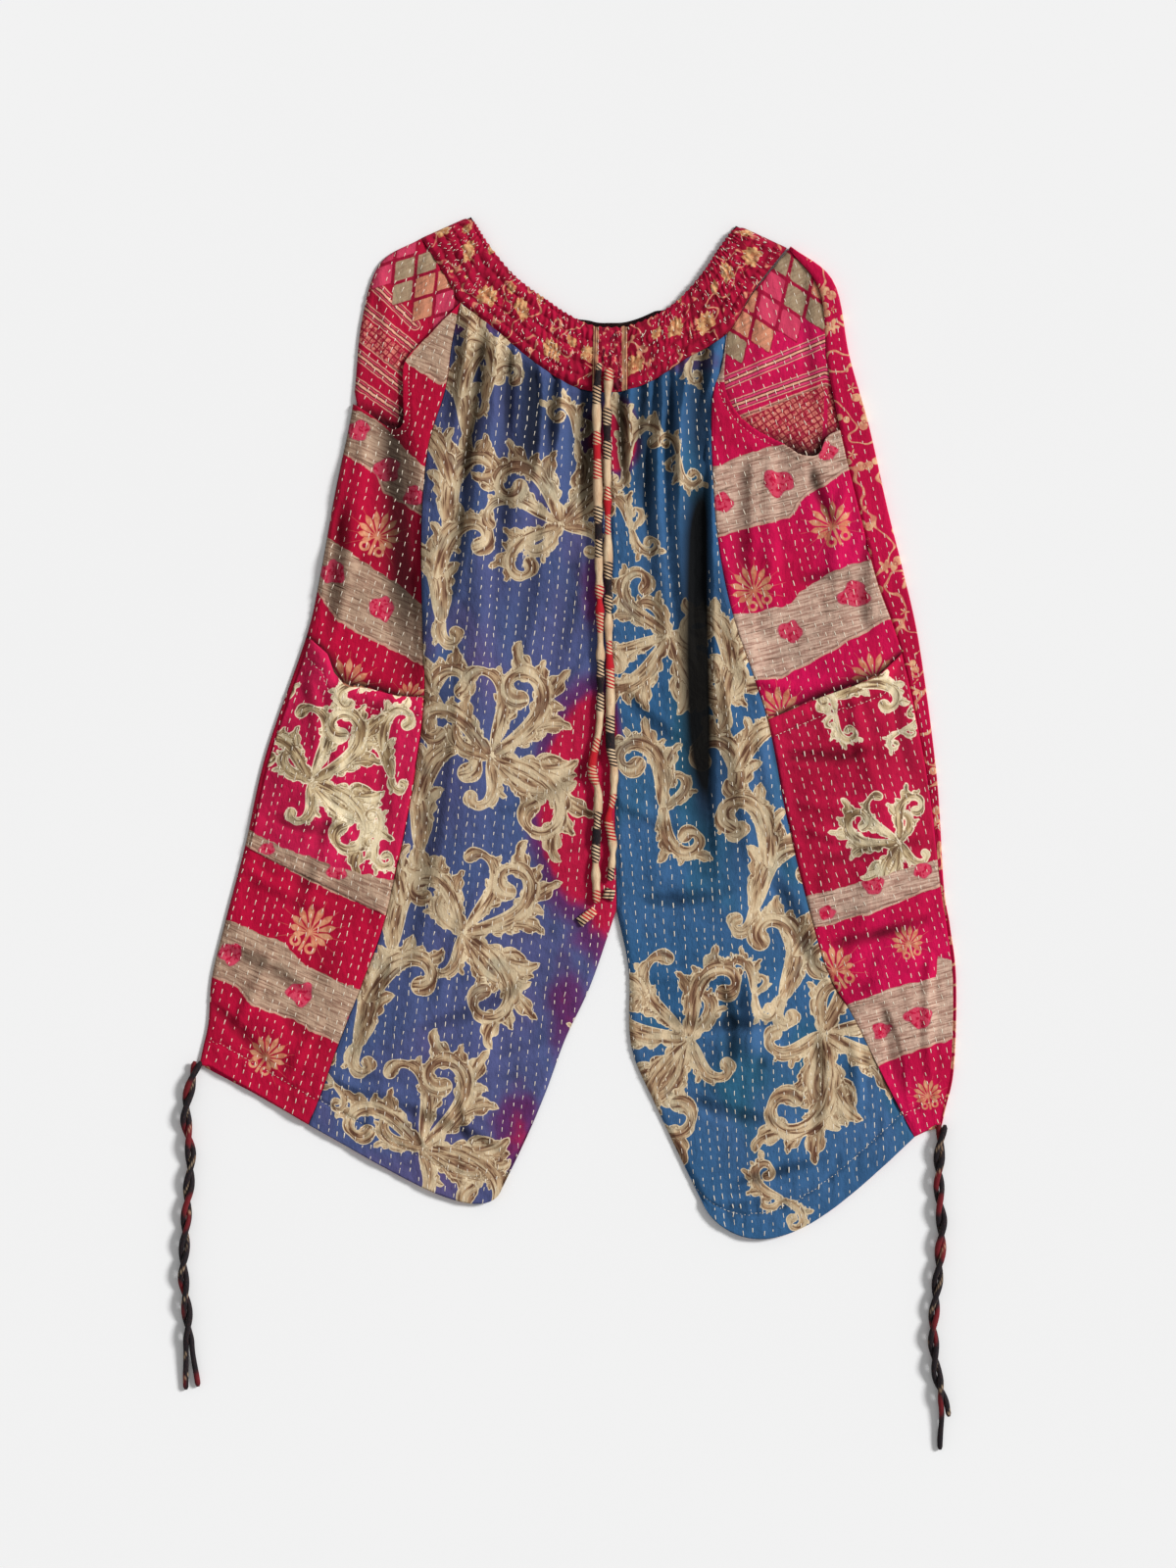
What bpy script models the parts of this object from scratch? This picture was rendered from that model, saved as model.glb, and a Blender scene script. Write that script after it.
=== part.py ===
"""Cargo capri joggers, laid flat with the front up.

The part is in metres with +Z up and the waist towards +Y. Its origin is under the middle of the
garment's box, on the surface that it lies on. Left and right are the sides seen from above.
Tables and sizes are in millimetres, and the last step of each piece turns them into metres.

The two back panels lie flat on the surface. The front cloth lies over them as one skin with a
common height, cut into panels at the seams. What lies under or on a panel follows its height.
"""

import math
from collections import namedtuple

import bmesh
import bpy
import numpy as np

MM = 0.001

# Cloth
WALL = 1.8
BACK_WALL = 2.0
BAND_WALL = 3.0
PLACKET_WALL = 3.4
POCKET_HEM_WALL = 2.8
SEAM_GAP = 0.3
LAYER_GAP = 0.6

# Heights above the surface of the front cloth's underside
SKIN_BASE = BACK_WALL + SEAM_GAP
YOKE_DROP = WALL + LAYER_GAP
HIP_LIFT = YOKE_DROP + 0.2
HIP_LIFT_FULL_Y = 140
HIP_LIFT_NONE_Y = 70

# Edges
FOLD_ROLL = 4.0
ROLL_COLUMNS = (4.4, 1.3, 0.0)
BACK_INSET = 5.2
BACK_TOP_GAP = 1.5
CROTCH_ROW = 8
CROTCH_EASE_ROW = 7.85
HEM_ROW = 12
YOKE_END_ROW = 3.9
YOKE_TUCK = 6.0
HEM_BOW = {"left": 26, "right": 48}
HEM_SKEW = {"left": 0.5, "right": 0.72}
MOUTH_GAPE = 2.8
MOUTH_GAPE_REACH = 26
MOUTH_CUT_HEIGHT = 40
POCKET_GAPE = 3.3
POCKET_ROWS = (6, 8)

# Cords
WAIST_TIE_WIDTH = 6.5
ANKLE_STRAND = 4.0
ANKLE_STRAND_APART = 4.7
ANKLE_TWISTS = 4.5
ANKLE_PARTING = 0.86
CORD_REST = 0.5

# Waistband, from the left end to the right end: its lower edge and its top edge.
Waist = namedtuple("Waist", "low_x low_y top_x top_y")
WAIST = [
    Waist(-125, 400, -85, 418),
    Waist(-102, 363, -74, 400),
    Waist(-93, 347, -64, 386),
    Waist(-67, 327, -47, 367),
    Waist(-36, 301, -24, 350),
    Waist(-6, 281, -3, 336),
    Waist(14, 275, 15, 328),
    Waist(28, 274, 29, 327),
    Waist(43, 276, 43, 328),
    Waist(64, 284, 62, 335),
    Waist(92, 302, 83, 348),
    Waist(124, 322, 104, 371),
    Waist(145, 356, 116, 389),
    Waist(173, 392, 132, 411),
]
WAIST_SEAM = {"left": 2, "right": 11}
WAIST_END = {"left": 0, "right": 13}
WAIST_CENTRE = 7
PLACKET = (6, 8)
# The distance between the waist's first two sections, and between its last two.
BAND_END_SPACING = 44

# A leg's sections, from the waist to the hem. fold: the outer fold. wrap: how far the back
# panel turns over the fold on to the front. seam: between side and front panel. inner: the
# centre front, and the inseam below the crotch.
Station = namedtuple("Station", "fold_x fold_y wrap seam_x seam_y inner_x inner_y")
STATIONS = {
    "left": [
        Station(-125, 400, 0, -93, 347, 28, 274),
        Station(-159, 379, 0, -100, 315, 28, 243),
        Station(-174, 331, 0, -106, 275, 28, 203),
        Station(-181, 264, 0, -120, 227, 28, 155),
        Station(-195, 195, 0, -125, 159, 28, 91),
        Station(-208, 123, 0, -124, 83, 30, 19),
        Station(-219, 75, 0, -123, 25, 32, -37),
        Station(-252, -21, 0, -133, -53, 33, -97),
        Station(-269, -96, 0, -154, -152, 34, -148),
        Station(-285, -157, 0, -172, -204, 13, -209),
        Station(-296, -203, 0, -193, -258, -8, -254),
        Station(-299, -241, 0, -206, -295, -28, -307),
        Station(-306, -270, 0, -217, -323, -59, -370),
    ],
    "right": [
        Station(176, 393, 3, 124, 322, 28, 274),
        Station(211, 364, 14, 120, 297, 28, 243),
        Station(224, 303, 19, 112, 267, 28, 203),
        Station(240, 246, 24, 112, 213, 28, 155),
        Station(255, 179, 23, 117, 150, 28, 91),
        Station(268, 127, 23, 129, 91, 30, 19),
        Station(281, 68, 16, 157, 7, 32, -37),
        Station(295, -37, 8, 173, -74, 33, -97),
        Station(301, -128, 3, 195, -163, 34, -148),
        Station(306, -161, 3, 209, -204, 44, -197),
        Station(311, -205, 3, 228, -237, 46, -258),
        Station(309, -279, 3, 255, -291, 65, -305),
        Station(299, -320, 3, 277, -333, 104, -385),
    ],
}

# The scooped pocket mouths, from the seam at the waist to the outer edge.
Mouth = namedtuple("Mouth", "x y")
MOUTHS = {
    "left": [
        Mouth(-93, 347),
        Mouth(-117, 322),
        Mouth(-138, 299),
        Mouth(-140, 272),
        Mouth(-140, 249),
        Mouth(-148, 244),
        Mouth(-159, 250),
        Mouth(-170, 258),
        Mouth(-183, 266),
    ],
    "right": [
        Mouth(124, 322),
        Mouth(122, 281),
        Mouth(131, 259),
        Mouth(147, 244),
        Mouth(170, 232),
        Mouth(184, 223),
        Mouth(198, 223),
        Mouth(205, 237),
        Mouth(215, 243),
    ],
}

# How far the mouth of a cargo pocket hangs down, from the seam to the outer edge.
POCKET_SAG = {
    "left": [(0, 0), (0.23, 10), (0.49, 16), (0.68, 24), (0.79, 17), (0.84, 5), (1, 0)],
    "right": [(0, 0), (0.4, 3), (0.65, 7), (0.82, 9), (1, 0)],
}

# Where the mouth stands off the yoke, and the corners that close the cut above it.
MOUTH_GAPE_AT = {"left": (-149, 249), "right": (190, 228)}
MOUTH_CUT_CORNERS = {
    "left": [(-215, 270), (-215, 440), (-60, 440)],
    "right": [(250, 236), (250, 440), (118, 440), (121, 330)],
}

# Gathers of the front panels, which start at the waistband. across: place between seam, 0, and
# centre, 1. reach: the row where the gather has gone.
Gather = namedtuple("Gather", "across half_width height reach")
GATHERS = {
    "left": [
        Gather(0.08, 0.08, 5.5, 7.0),
        Gather(0.30, 0.11, 8.0, 8.5),
        Gather(0.52, 0.10, 6.5, 5.0),
        Gather(0.70, 0.08, 6.0, 3.5),
        Gather(0.84, 0.06, 3.5, 2.5),
    ],
    "right": [
        Gather(0.10, 0.08, 3.5, 4.0),
        Gather(0.33, 0.11, 8.0, 9.0),
        Gather(0.54, 0.09, 5.5, 5.5),
        Gather(0.70, 0.07, 5.5, 3.5),
        Gather(0.84, 0.06, 3.5, 2.5),
    ],
}

# Larger folds and crowns of the front cloth: a ridge from one point to another.
Fold = namedtuple("Fold", "x0 y0 x1 y1 half_width height")
FOLDS = [
    Fold(-50, 200, -110, -300, 75, 4.0),
    Fold(75, 200, 160, -320, 75, 4.0),
    Fold(-185, 60, -240, -200, 40, 2.5),
    Fold(230, 60, 270, -230, 45, 2.5),
    Fold(-117, 125, -118, 40, 20, 4.0),
    Fold(128, 125, 140, 50, 18, 4.0),
    Fold(-196, 140, -208, 40, 16, 3.0),
    Fold(-260, -230, -215, -275, 18, 2.5),
    Fold(120, -290, 158, -210, 20, 3.5),
    Fold(90, -245, 160, -262, 16, 2.5),
    Fold(190, -300, 250, -210, 18, 3.0),
    Fold(-150, -300, -75, -255, 18, 3.0),
    Fold(-90, -190, -5, -180, 18, 2.5),
    Fold(70, -120, 130, -150, 18, 2.5),
    Fold(258, -80, 225, -200, 18, 2.5),
]

# Cord routes on the surface below them.
Route = namedtuple("Route", "x y")
WAIST_TIES = {
    "left": [
        Route(20, 297),
        Route(18, 275),
        Route(18, 243),
        Route(19, 179),
        Route(20, 115),
        Route(21, 51),
        Route(20, 3),
        Route(14, -32),
        Route(19, -52),
        Route(18, -81),
        Route(17, -108),
        Route(18, -142),
    ],
    "right": [
        Route(28, 293),
        Route(26.5, 259),
        Route(26.5, 211),
        Route(27, 147),
        Route(27.5, 83),
        Route(29, 35),
        Route(29, -13),
        Route(32, -33),
        Route(31, -57),
        Route(27.5, -74),
        Route(31, -96),
        Route(29, -124),
    ],
}
ANKLE_TIES = {
    "left": [
        Route(-307.3, -271.4),
        Route(-313, -290),
        Route(-317, -315),
        Route(-313, -349),
        Route(-316, -389),
        Route(-318, -421),
        Route(-319, -445),
        Route(-316, -475),
        Route(-314, -510),
        Route(-312, -539),
    ],
    "right": [
        Route(299.3, -323),
        Route(297, -350),
        Route(297, -381),
        Route(299, -405),
        Route(297, -437),
        Route(294, -465),
        Route(292, -493),
        Route(295, -525),
        Route(301, -552),
        Route(304, -588),
    ],
}
ANKLE_SPREAD = {"left": 5.0, "right": 6.0}
ANKLE_SHORTER = {"left": 0.99, "right": 0.90}

# The folded tips of the waist ties: centre, size and turn.
TieTip = namedtuple("TieTip", "centre size turn")
TIE_TIPS = {
    "left": TieTip((10, -153), (17, 8, 3), 38),
    "right": TieTip((28, -135), (9, 9, 3), 70),
}

COLOURS = {
    "blue_left": (0.073, 0.107, 0.292),
    "blue_right": (0.032, 0.127, 0.279),
    "crimson": (0.515, 0.003, 0.045),
    "yoke": (0.48, 0.02, 0.07),
    "vine": (0.47, 0.006, 0.05),
    "pocket": (0.552, 0.012, 0.076),
    "band": (0.462, 0.006, 0.042),
    "tie": (0.55, 0.42, 0.28),
    "ankle": (0.02, 0.012, 0.014),
}


def smooth_step(low, high, value):
    """0 below low, 1 above high and a smooth rise between them."""
    t = np.clip((value - low) / (high - low), 0, 1)
    return t * t * (3 - 2 * t)


def bell(t):
    """A soft hump: 1 at 0, and 0 from 1 on."""
    return 0.5 + 0.5 * np.cos(math.pi * np.clip(np.abs(t), 0, 1))


def along(points, place):
    """The point at a place, counted in points, on a smooth curve through the points."""
    points = np.asarray(points, float)
    last = len(points) - 1
    k = int(min(max(place, 0), last - 1))
    t = place - k
    before = points[k - 1] if k else 2 * points[0] - points[1]
    after = points[k + 2] if k + 2 <= last else 2 * points[last] - points[last - 1]
    here, there = points[k], points[k + 1]
    return (
        here
        + 0.5 * t * (there - before)
        + t * t * (before - 2.5 * here + 2 * there - 0.5 * after)
        + t**3 * 0.5 * (after - 3 * there + 3 * here - before)
    )


def at_share(points, start, end, share):
    """The point at a share of the length of a curve, between two of its places."""
    places = np.linspace(start, end, 81)
    path = np.array([along(points, place) for place in places])
    steps = np.linalg.norm(np.diff(path, axis=0), axis=1)
    length = np.concatenate([[0], np.cumsum(steps)])
    return along(points, np.interp(share * length[-1], length, places))


def waist_low(start, end, share):
    return at_share([(w.low_x, w.low_y) for w in WAIST], start, end, share)


def section(leg, row):
    """The points of a leg's section: fold, side, seam and inner."""
    s = Station(*along(STATIONS[leg], row))
    fold = np.array([s.fold_x, s.fold_y])
    seam = np.array([s.seam_x, s.seam_y])
    # The centre front and the inseam meet at a corner, the crotch.
    inner_line = [(p.inner_x, p.inner_y) for p in STATIONS[leg]]
    if row <= CROTCH_ROW:
        inner = along(inner_line[: CROTCH_ROW + 1], row)
    else:
        inner = along(inner_line[CROTCH_ROW:], row - CROTCH_ROW)
    inward = (seam - fold) / np.linalg.norm(seam - fold)
    return fold, fold + inward * max(s.wrap, 0), seam, inner


def bowed(first, last, across, row, edge, fade_row):
    """A point between two edges, where the top edge's own shape fades out down the rows."""
    point = first + (last - first) * across
    weight = max(0.0, 1 - row / fade_row)
    if weight:
        chord = edge(0) + (edge(1) - edge(0)) * across
        point = point + (edge(across) - chord) * weight
    return point


def front_point(leg, across, row):
    """Plan of a front panel: across is 0 at the seam and 1 at the centre or inseam."""
    _, _, seam, inner = section(leg, row)

    def edge(share):
        return waist_low(WAIST_SEAM[leg], WAIST_CENTRE, share)

    point = bowed(seam, inner, across, row, edge, 4)
    from_inner = np.clip(1 - across, 0, 1) ** HEM_SKEW[leg]
    drop = HEM_BOW[leg] * math.sin(math.pi * from_inner) * smooth_step(HEM_ROW - 2, HEM_ROW, row)
    return point - np.array([0, drop])


def hip_point(leg, across, row):
    """Plan of the whole side below the waistband: across is 0 at the seam and 1 outside."""
    _, side, seam, _ = section(leg, row)

    def edge(share):
        return waist_low(WAIST_SEAM[leg], WAIST_END[leg], share)

    return bowed(seam, side, across, row, edge, 3)


def folded_edges():
    """The edges where the front cloth turns down to the surface."""
    rows = np.linspace(0, HEM_ROW, 97)
    band_ends = [[(w.top_x, w.top_y), (w.low_x, w.low_y)] for w in (WAIST[0], WAIST[-1])]
    left_fold = [section("left", row)[0] for row in rows]
    inseams = [
        [section(leg, row)[3] for row in rows if row >= CROTCH_ROW] for leg in STATIONS
    ]
    return [np.array(edge, float) for edge in (*band_ends, left_fold, *inseams)]


FOLDED_EDGES = folded_edges()


def edge_distance(point):
    """How far a point in plan is from the nearest folded edge."""
    nearest = math.inf
    for edge in FOLDED_EDGES:
        start, run = edge[:-1], np.diff(edge, axis=0)
        place = np.sum((point - start) * run, axis=1) / np.sum(run * run, axis=1)
        foot = start + run * np.clip(place, 0, 1)[:, None]
        nearest = min(nearest, np.min(np.linalg.norm(point - foot, axis=1)))
    return nearest


def roll(point, leg="left"):
    """1 in the open cloth, falling to 0 at a folded edge. The right side has none of these."""
    if leg == "right":
        return 1.0
    return math.sin(0.5 * math.pi * min(1.0, edge_distance(point) / FOLD_ROLL))


def skin(point):
    """Height of the underside of the front cloth, before its edges turn down."""
    x, y = point
    height = SKIN_BASE + HIP_LIFT * smooth_step(HIP_LIFT_NONE_Y, HIP_LIFT_FULL_Y, y)
    for fold in FOLDS:
        start = np.array([fold.x0, fold.y0])
        run = np.array([fold.x1, fold.y1]) - start
        place = np.clip(np.dot(point - start, run) / np.dot(run, run), 0, 1)
        distance = np.linalg.norm(point - start - run * place)
        height += fold.height * bell(distance / fold.half_width)
    return height


def gathers(leg, across, row):
    """Height that the gathers add to a front panel."""
    rise = 0.35 + 0.65 * smooth_step(0, 0.8, row)
    return sum(
        g.height * bell((across - g.across) / g.half_width) * max(0, 1 - row / g.reach) * rise
        for g in GATHERS[leg]
    )


def new_collection(name):
    collection = bpy.data.collections.new(name)
    bpy.context.scene.collection.children.link(collection)
    return collection


def cloth_material(name, colour):
    material = bpy.data.materials.new(name)
    material.use_nodes = True
    surface = material.node_tree.nodes["Principled BSDF"]
    surface.inputs["Base Color"].default_value = (*colour, 1)
    surface.inputs["Roughness"].default_value = 0.85
    surface.inputs["Metallic"].default_value = 0.0
    return material


def inset(plan, seam=0.5 * SEAM_GAP, outer=0.5 * SEAM_GAP, top=0.5 * SEAM_GAP, bottom=0.0):
    """Moves a grid's border points inwards, to leave the gap of a seam."""
    plan = plan.copy()
    for border, neighbour, distance in (
        (plan[:, 0], plan[:, 1], seam),
        (plan[:, -1], plan[:, -2], outer),
        (plan[0], plan[1], top),
        (plan[-1], plan[-2], bottom),
    ):
        step = neighbour - border
        border += step / np.linalg.norm(step, axis=1)[:, None] * distance
    return plan


def wall(name, upper, lower, material, collection):
    """A closed wall between two grids of points, given in millimetres."""
    rows, columns = upper.shape[:2]
    count = rows * columns
    points = np.concatenate([upper.reshape(-1, 3), lower.reshape(-1, 3)]) * MM
    index = np.arange(count).reshape(rows, columns)
    faces = []
    for i in range(rows - 1):
        for j in range(columns - 1):
            a, b = int(index[i, j]), int(index[i, j + 1])
            c, d = int(index[i + 1, j + 1]), int(index[i + 1, j])
            faces += [(a, d, c), (a, c, b)]
            faces += [(a + count, c + count, d + count), (a + count, b + count, c + count)]
    border = [*index[0], *index[1:, -1], *index[-1, -2::-1], *index[-2:0:-1, 0]]
    for a, b in zip(border, border[1:] + border[:1], strict=True):
        a, b = int(a), int(b)
        faces += [(a, b, b + count), (a, b + count, a + count)]
    mesh = bpy.data.meshes.new(name)
    mesh.from_pydata(points.tolist(), [], faces)
    mesh.validate()
    piece = bpy.data.objects.new(name, mesh)
    collection.objects.link(piece)
    turn_out(mesh)
    mesh.materials.append(material)
    return piece


def turn_out(mesh):
    """Makes a closed mesh's faces point outwards."""
    volume = 0.0
    for face in mesh.polygons:
        a, b, c = (mesh.vertices[v].co for v in face.vertices)
        volume += a.dot(b.cross(c))
    if volume < 0:
        mesh.flip_normals()


def raised(plan, heights):
    return np.concatenate([plan, np.asarray(heights, float)[..., None]], axis=2)


def plan_grid(place, rows, columns):
    """Plan points of a grid, where columns(row) gives the places across."""
    return np.array([[place(across, row) for across in columns(row)] for row in rows])


def gather_places(leg):
    """Places across a front panel at the gathers' crests and between them."""
    crests = [g.across for g in GATHERS[leg]]
    between = [0.5 * (a + b) for a, b in zip(crests, crests[1:], strict=False)]
    return sorted([0.0, *crests, *between, 0.91])


def near_inner(leg, row, distance):
    """The place across a front panel at a distance from the centre front or the inseam."""
    _, _, seam, inner = section(leg, row)
    step = 0.1 / np.linalg.norm(inner - seam)
    across = 1 - 10 * distance * step
    if row > CROTCH_ROW:
        while edge_distance(front_point(leg, across, row)) < distance:
            across -= step
    return across


def make_front(leg, material, collection):
    places = gather_places(leg)
    rows = sorted([*np.linspace(0, HEM_ROW, 25), CROTCH_EASE_ROW])

    def columns(row):
        return places + [near_inner(leg, row, distance) for distance in ROLL_COLUMNS]

    plan = plan_grid(lambda across, row: front_point(leg, across, row), rows, columns)
    plan = inset(plan)
    low = np.array(
        [
            [
                (skin(point) + gathers(leg, across, row)) * roll(point)
                for point, across in zip(line, columns(row), strict=True)
            ]
            for line, row in zip(plan, rows, strict=True)
        ]
    )
    return wall(f"front_{leg}", raised(plan, low + WALL), raised(plan, low), material, collection)


SIDE_ROWS = sorted([*np.linspace(0, HEM_ROW, 25), 6.2])
SIDE_PLACES = [0, 0.14, 0.28, 0.41, 0.52, 0.62, 0.72, 0.83]


def side_grid(leg):
    """Plan of a side panel, before its pocket mouth is cut."""

    def columns(row):
        if leg == "right":
            return [*SIDE_PLACES, 0.92, 1.0]
        width = np.linalg.norm(hip_point(leg, 1, row) - hip_point(leg, 0, row))
        return [*SIDE_PLACES, *[1 - distance / width for distance in ROLL_COLUMNS]]

    plan = plan_grid(lambda across, row: hip_point(leg, across, row), SIDE_ROWS, columns)
    return inset(plan, outer=0.5 * SEAM_GAP if leg == "right" else 0.0)


def side_low(leg, plan):
    """Height of a side panel's underside."""
    low = np.array([[skin(point) * roll(point, leg) for point in line] for line in plan])
    from_gape = np.linalg.norm(plan - np.array(MOUTH_GAPE_AT[leg]), axis=2)
    return low + MOUTH_GAPE * bell(from_gape / MOUTH_GAPE_REACH)


def make_mouth_cutter(leg, cutters):
    """A block over all that lies above the scooped mouth."""
    mouth = [(m.x, m.y) for m in MOUTHS[leg]]
    places = np.linspace(0, len(mouth) - 1, 3 * len(mouth) - 2)
    outline = [along(mouth, place) for place in places]
    outline += [np.array(corner) for corner in MOUTH_CUT_CORNERS[leg]]
    mesh = bpy.data.meshes.new(f"mouth_cutter_{leg}")
    cut = bmesh.new()
    base = [cut.verts.new((x * MM, y * MM, -MOUTH_CUT_HEIGHT * MM)) for x, y in outline]
    face = cut.faces.new(base)
    sides = bmesh.ops.extrude_face_region(cut, geom=[face])
    raised_verts = [v for v in sides["geom"] if isinstance(v, bmesh.types.BMVert)]
    bmesh.ops.translate(cut, verts=raised_verts, vec=(0, 0, 2 * MOUTH_CUT_HEIGHT * MM))
    bmesh.ops.recalc_face_normals(cut, faces=cut.faces)
    cut.to_mesh(mesh)
    cut.free()
    cutter = bpy.data.objects.new(mesh.name, mesh)
    cutters.objects.link(cutter)
    cutter.hide_render = True
    cutter.display_type = "WIRE"
    return cutter


def make_side(leg, material, collection, cutters):
    plan = side_grid(leg)
    low = side_low(leg, plan)
    upper = raised(plan, low + WALL)
    piece = wall(f"side_{leg}", upper, raised(plan, low), material, collection)
    mouth = piece.modifiers.new("pocket mouth", "BOOLEAN")
    mouth.object = make_mouth_cutter(leg, cutters)
    mouth.solver = "EXACT"
    return piece


def make_cargo_pocket(leg, material, collection):
    """A patch made from the side panel's points, moved out, with a mouth that stands off."""
    first, last = (SIDE_ROWS.index(row) for row in POCKET_ROWS)
    keep = slice(0, -1 if leg == "left" else None)
    plan = side_grid(leg)[first : last + 1, keep]
    plan = inset(plan, seam=0.8, outer=0.0 if leg == "left" else 0.8, top=0.0)
    rows = np.array(SIDE_ROWS[first : last + 1])
    run = np.linalg.norm(plan[0] - plan[0, 0], axis=1)
    across = run / run[-1]
    sag = np.interp(across, *np.transpose(POCKET_SAG[leg]))
    plan[:2, :, 1] -= np.outer([1, 0.9], sag)
    down = np.clip(1 - (rows - rows[0]) / 0.9, 0, 1)
    gape = POCKET_GAPE * np.outer(down, bell((across - 0.55) / 0.5))
    low = side_low(leg, plan) + WALL + SEAM_GAP + gape
    thick = np.where(rows < rows[0] + 0.3, POCKET_HEM_WALL, WALL)[:, None]
    upper = raised(plan, low + thick)
    return wall(f"cargo_pocket_{leg}", upper, raised(plan, low), material, collection)


def make_yoke(leg, material, collection):
    """The hip panel under the side panel's mouth, tucked in from the edge below the mouth."""
    rows = [0, 0.3, 0.7, 1.1, 1.5, 1.9, 2.3, 2.6, 2.85, 3.0, 3.2, 3.45, 3.7, YOKE_END_ROW]

    def columns(row):
        width = np.linalg.norm(hip_point(leg, 1, row) - hip_point(leg, 0, row))
        tuck = YOKE_TUCK * np.clip((row - 2.85) / 0.15, 0, 1) if leg == "left" else 0
        return [0, 0.15, 0.3, 0.45, 0.6, 0.73, *[1 - (tuck + d) / width for d in ROLL_COLUMNS]]

    plan = plan_grid(lambda across, row: hip_point(leg, across, row), rows, columns)
    plan = inset(plan, outer=0.5 * SEAM_GAP if leg == "right" else 0.0)
    low = np.array([[(skin(p) - YOKE_DROP) * roll(p, leg) for p in line] for line in plan])
    return wall(f"yoke_{leg}", raised(plan, low + WALL), raised(plan, low), material, collection)


def back_line(leg, row, outer_inset):
    """Plan points of a back panel's section, from the inner edge to the outer one.

    The panel meets its twin at the centre, and stays inside the inseam's fold."""
    fold, _, seam, _ = section(leg, row)
    from_inner = BACK_INSET if row >= CROTCH_EASE_ROW else 0.5 * SEAM_GAP
    places = [near_inner(leg, row, from_inner), 0.86, 0.7, 0.5, 0.25, 0.0]
    points = [front_point(leg, across, row) for across in places]
    outer = hip_point(leg, 1, row)
    outer = outer + (fold - section(leg, row)[1])
    inward = (seam - fold) / np.linalg.norm(seam - fold)
    points += [0.5 * (hip_point(leg, 0.5, row) + 0.5 * (outer + seam)), outer + inward * outer_inset]
    return points, outer, inward


BACK_ROWS = sorted([*np.linspace(0, HEM_ROW, 25), CROTCH_EASE_ROW])


def make_back_left(material, collection):
    plan = np.array([back_line("left", row, BACK_INSET)[0] for row in BACK_ROWS])
    plan = inset(plan, seam=0.0, outer=0.0, top=BACK_TOP_GAP)
    high = np.full(plan.shape[:2], BACK_WALL)
    low = np.zeros(plan.shape[:2])
    return wall("back_left", raised(plan, high), raised(plan, low), material, collection)


def make_back_right(material, collection):
    """A flat panel that turns round the outer fold and ends as a strip on the front."""
    under, over = [], []
    for row in BACK_ROWS:
        points, fold, inward = back_line("right", row, 3.2)
        wrap = max(Station(*along(STATIONS["right"], row)).wrap, 2.8) - SEAM_GAP

        def strip(distance):
            return skin(fold + inward * distance)

        def line(shape):
            return [(*(fold + inward * distance), height) for distance, height in shape]

        top = strip(1.1) + WALL
        middle = 0.5 * (wrap + 2.2)
        turn_out_side = [(1.0, 0), (0, 1.0), (0, top - 1.2), (1.1, top)]
        turn_in_side = [
            (2.2, BACK_WALL),
            (1.9, BACK_WALL + 0.1),
            (1.9, strip(2.2) - 0.1),
            (2.2, strip(2.2)),
        ]
        strip_out = [(middle, strip(middle) + WALL), (wrap, strip(wrap) + WALL)]
        strip_in = [(middle, strip(middle)), (wrap, strip(wrap))]
        under.append([(*p, 0.0) for p in points] + line(turn_out_side + strip_out))
        over.append([(*p, BACK_WALL) for p in points] + line(turn_in_side + strip_in))
    under, over = np.array(under), np.array(over)
    for grid in (under, over):
        step = grid[1] - grid[0]
        grid[0] += step / np.linalg.norm(step, axis=1)[:, None] * BACK_TOP_GAP
    return wall("back_right", over, under, material, collection)


def band_plan(places, shares):
    lows = [(w.low_x, w.low_y) for w in WAIST]
    tops = [(w.top_x, w.top_y) for w in WAIST]
    return np.array(
        [[along(lows, p) * (1 - s) + along(tops, p) * s for s in shares] for p in places]
    )


def make_band(name, start, end, thickness, material, collection):
    places = [*np.linspace(start, end, int(2 * (end - start)) + 1)]
    if start == WAIST_END["left"]:
        places[1:1] = [distance / BAND_END_SPACING for distance in ROLL_COLUMNS[1::-1]]
    if end == WAIST_END["right"]:
        places[-1:-1] = [end - distance / BAND_END_SPACING for distance in ROLL_COLUMNS[:2]]
    plan = inset(band_plan(places, [0, 0.33, 0.67, 1]), outer=0.0, bottom=0.5 * SEAM_GAP)
    low = np.array([[SKIN_BASE * roll(point) for point in line] for line in plan])
    return wall(name, raised(plan, low + thickness), raised(plan, low), material, collection)


def make_band_back(material, collection):
    """The back of the band, which shows as a sliver above the middle of the front."""
    places = np.linspace(0, WAIST_END["right"], 27)
    plan = band_plan(places, [0, 0.5, 1])
    plan[:, 2, 1] += 2.4 * bell((places - WAIST_CENTRE) / 2.2)
    plan = inset(plan, seam=0.5 * SEAM_GAP, outer=0.0, top=BACK_INSET + 1, bottom=BACK_INSET + 1)
    high = np.full(plan.shape[:2], BACK_WALL)
    low = np.zeros(plan.shape[:2])
    return wall("waistband_back", raised(plan, high), raised(plan, low), material, collection)


def cord_points(route, spacing):
    """Points at an even spacing on the smooth curve through a cord's route."""
    route = np.asarray(route, float)
    places = np.linspace(0, len(route) - 1, 40 * len(route))
    path = np.array([along(route, place) for place in places])
    length = np.concatenate([[0], np.cumsum(np.linalg.norm(np.diff(path, axis=0), axis=1))])
    stops = np.linspace(0, length[-1], max(2, round(length[-1] / spacing)) + 1)
    return np.array([[np.interp(s, length, path[:, axis]) for axis in range(3)] for s in stops])


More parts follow.
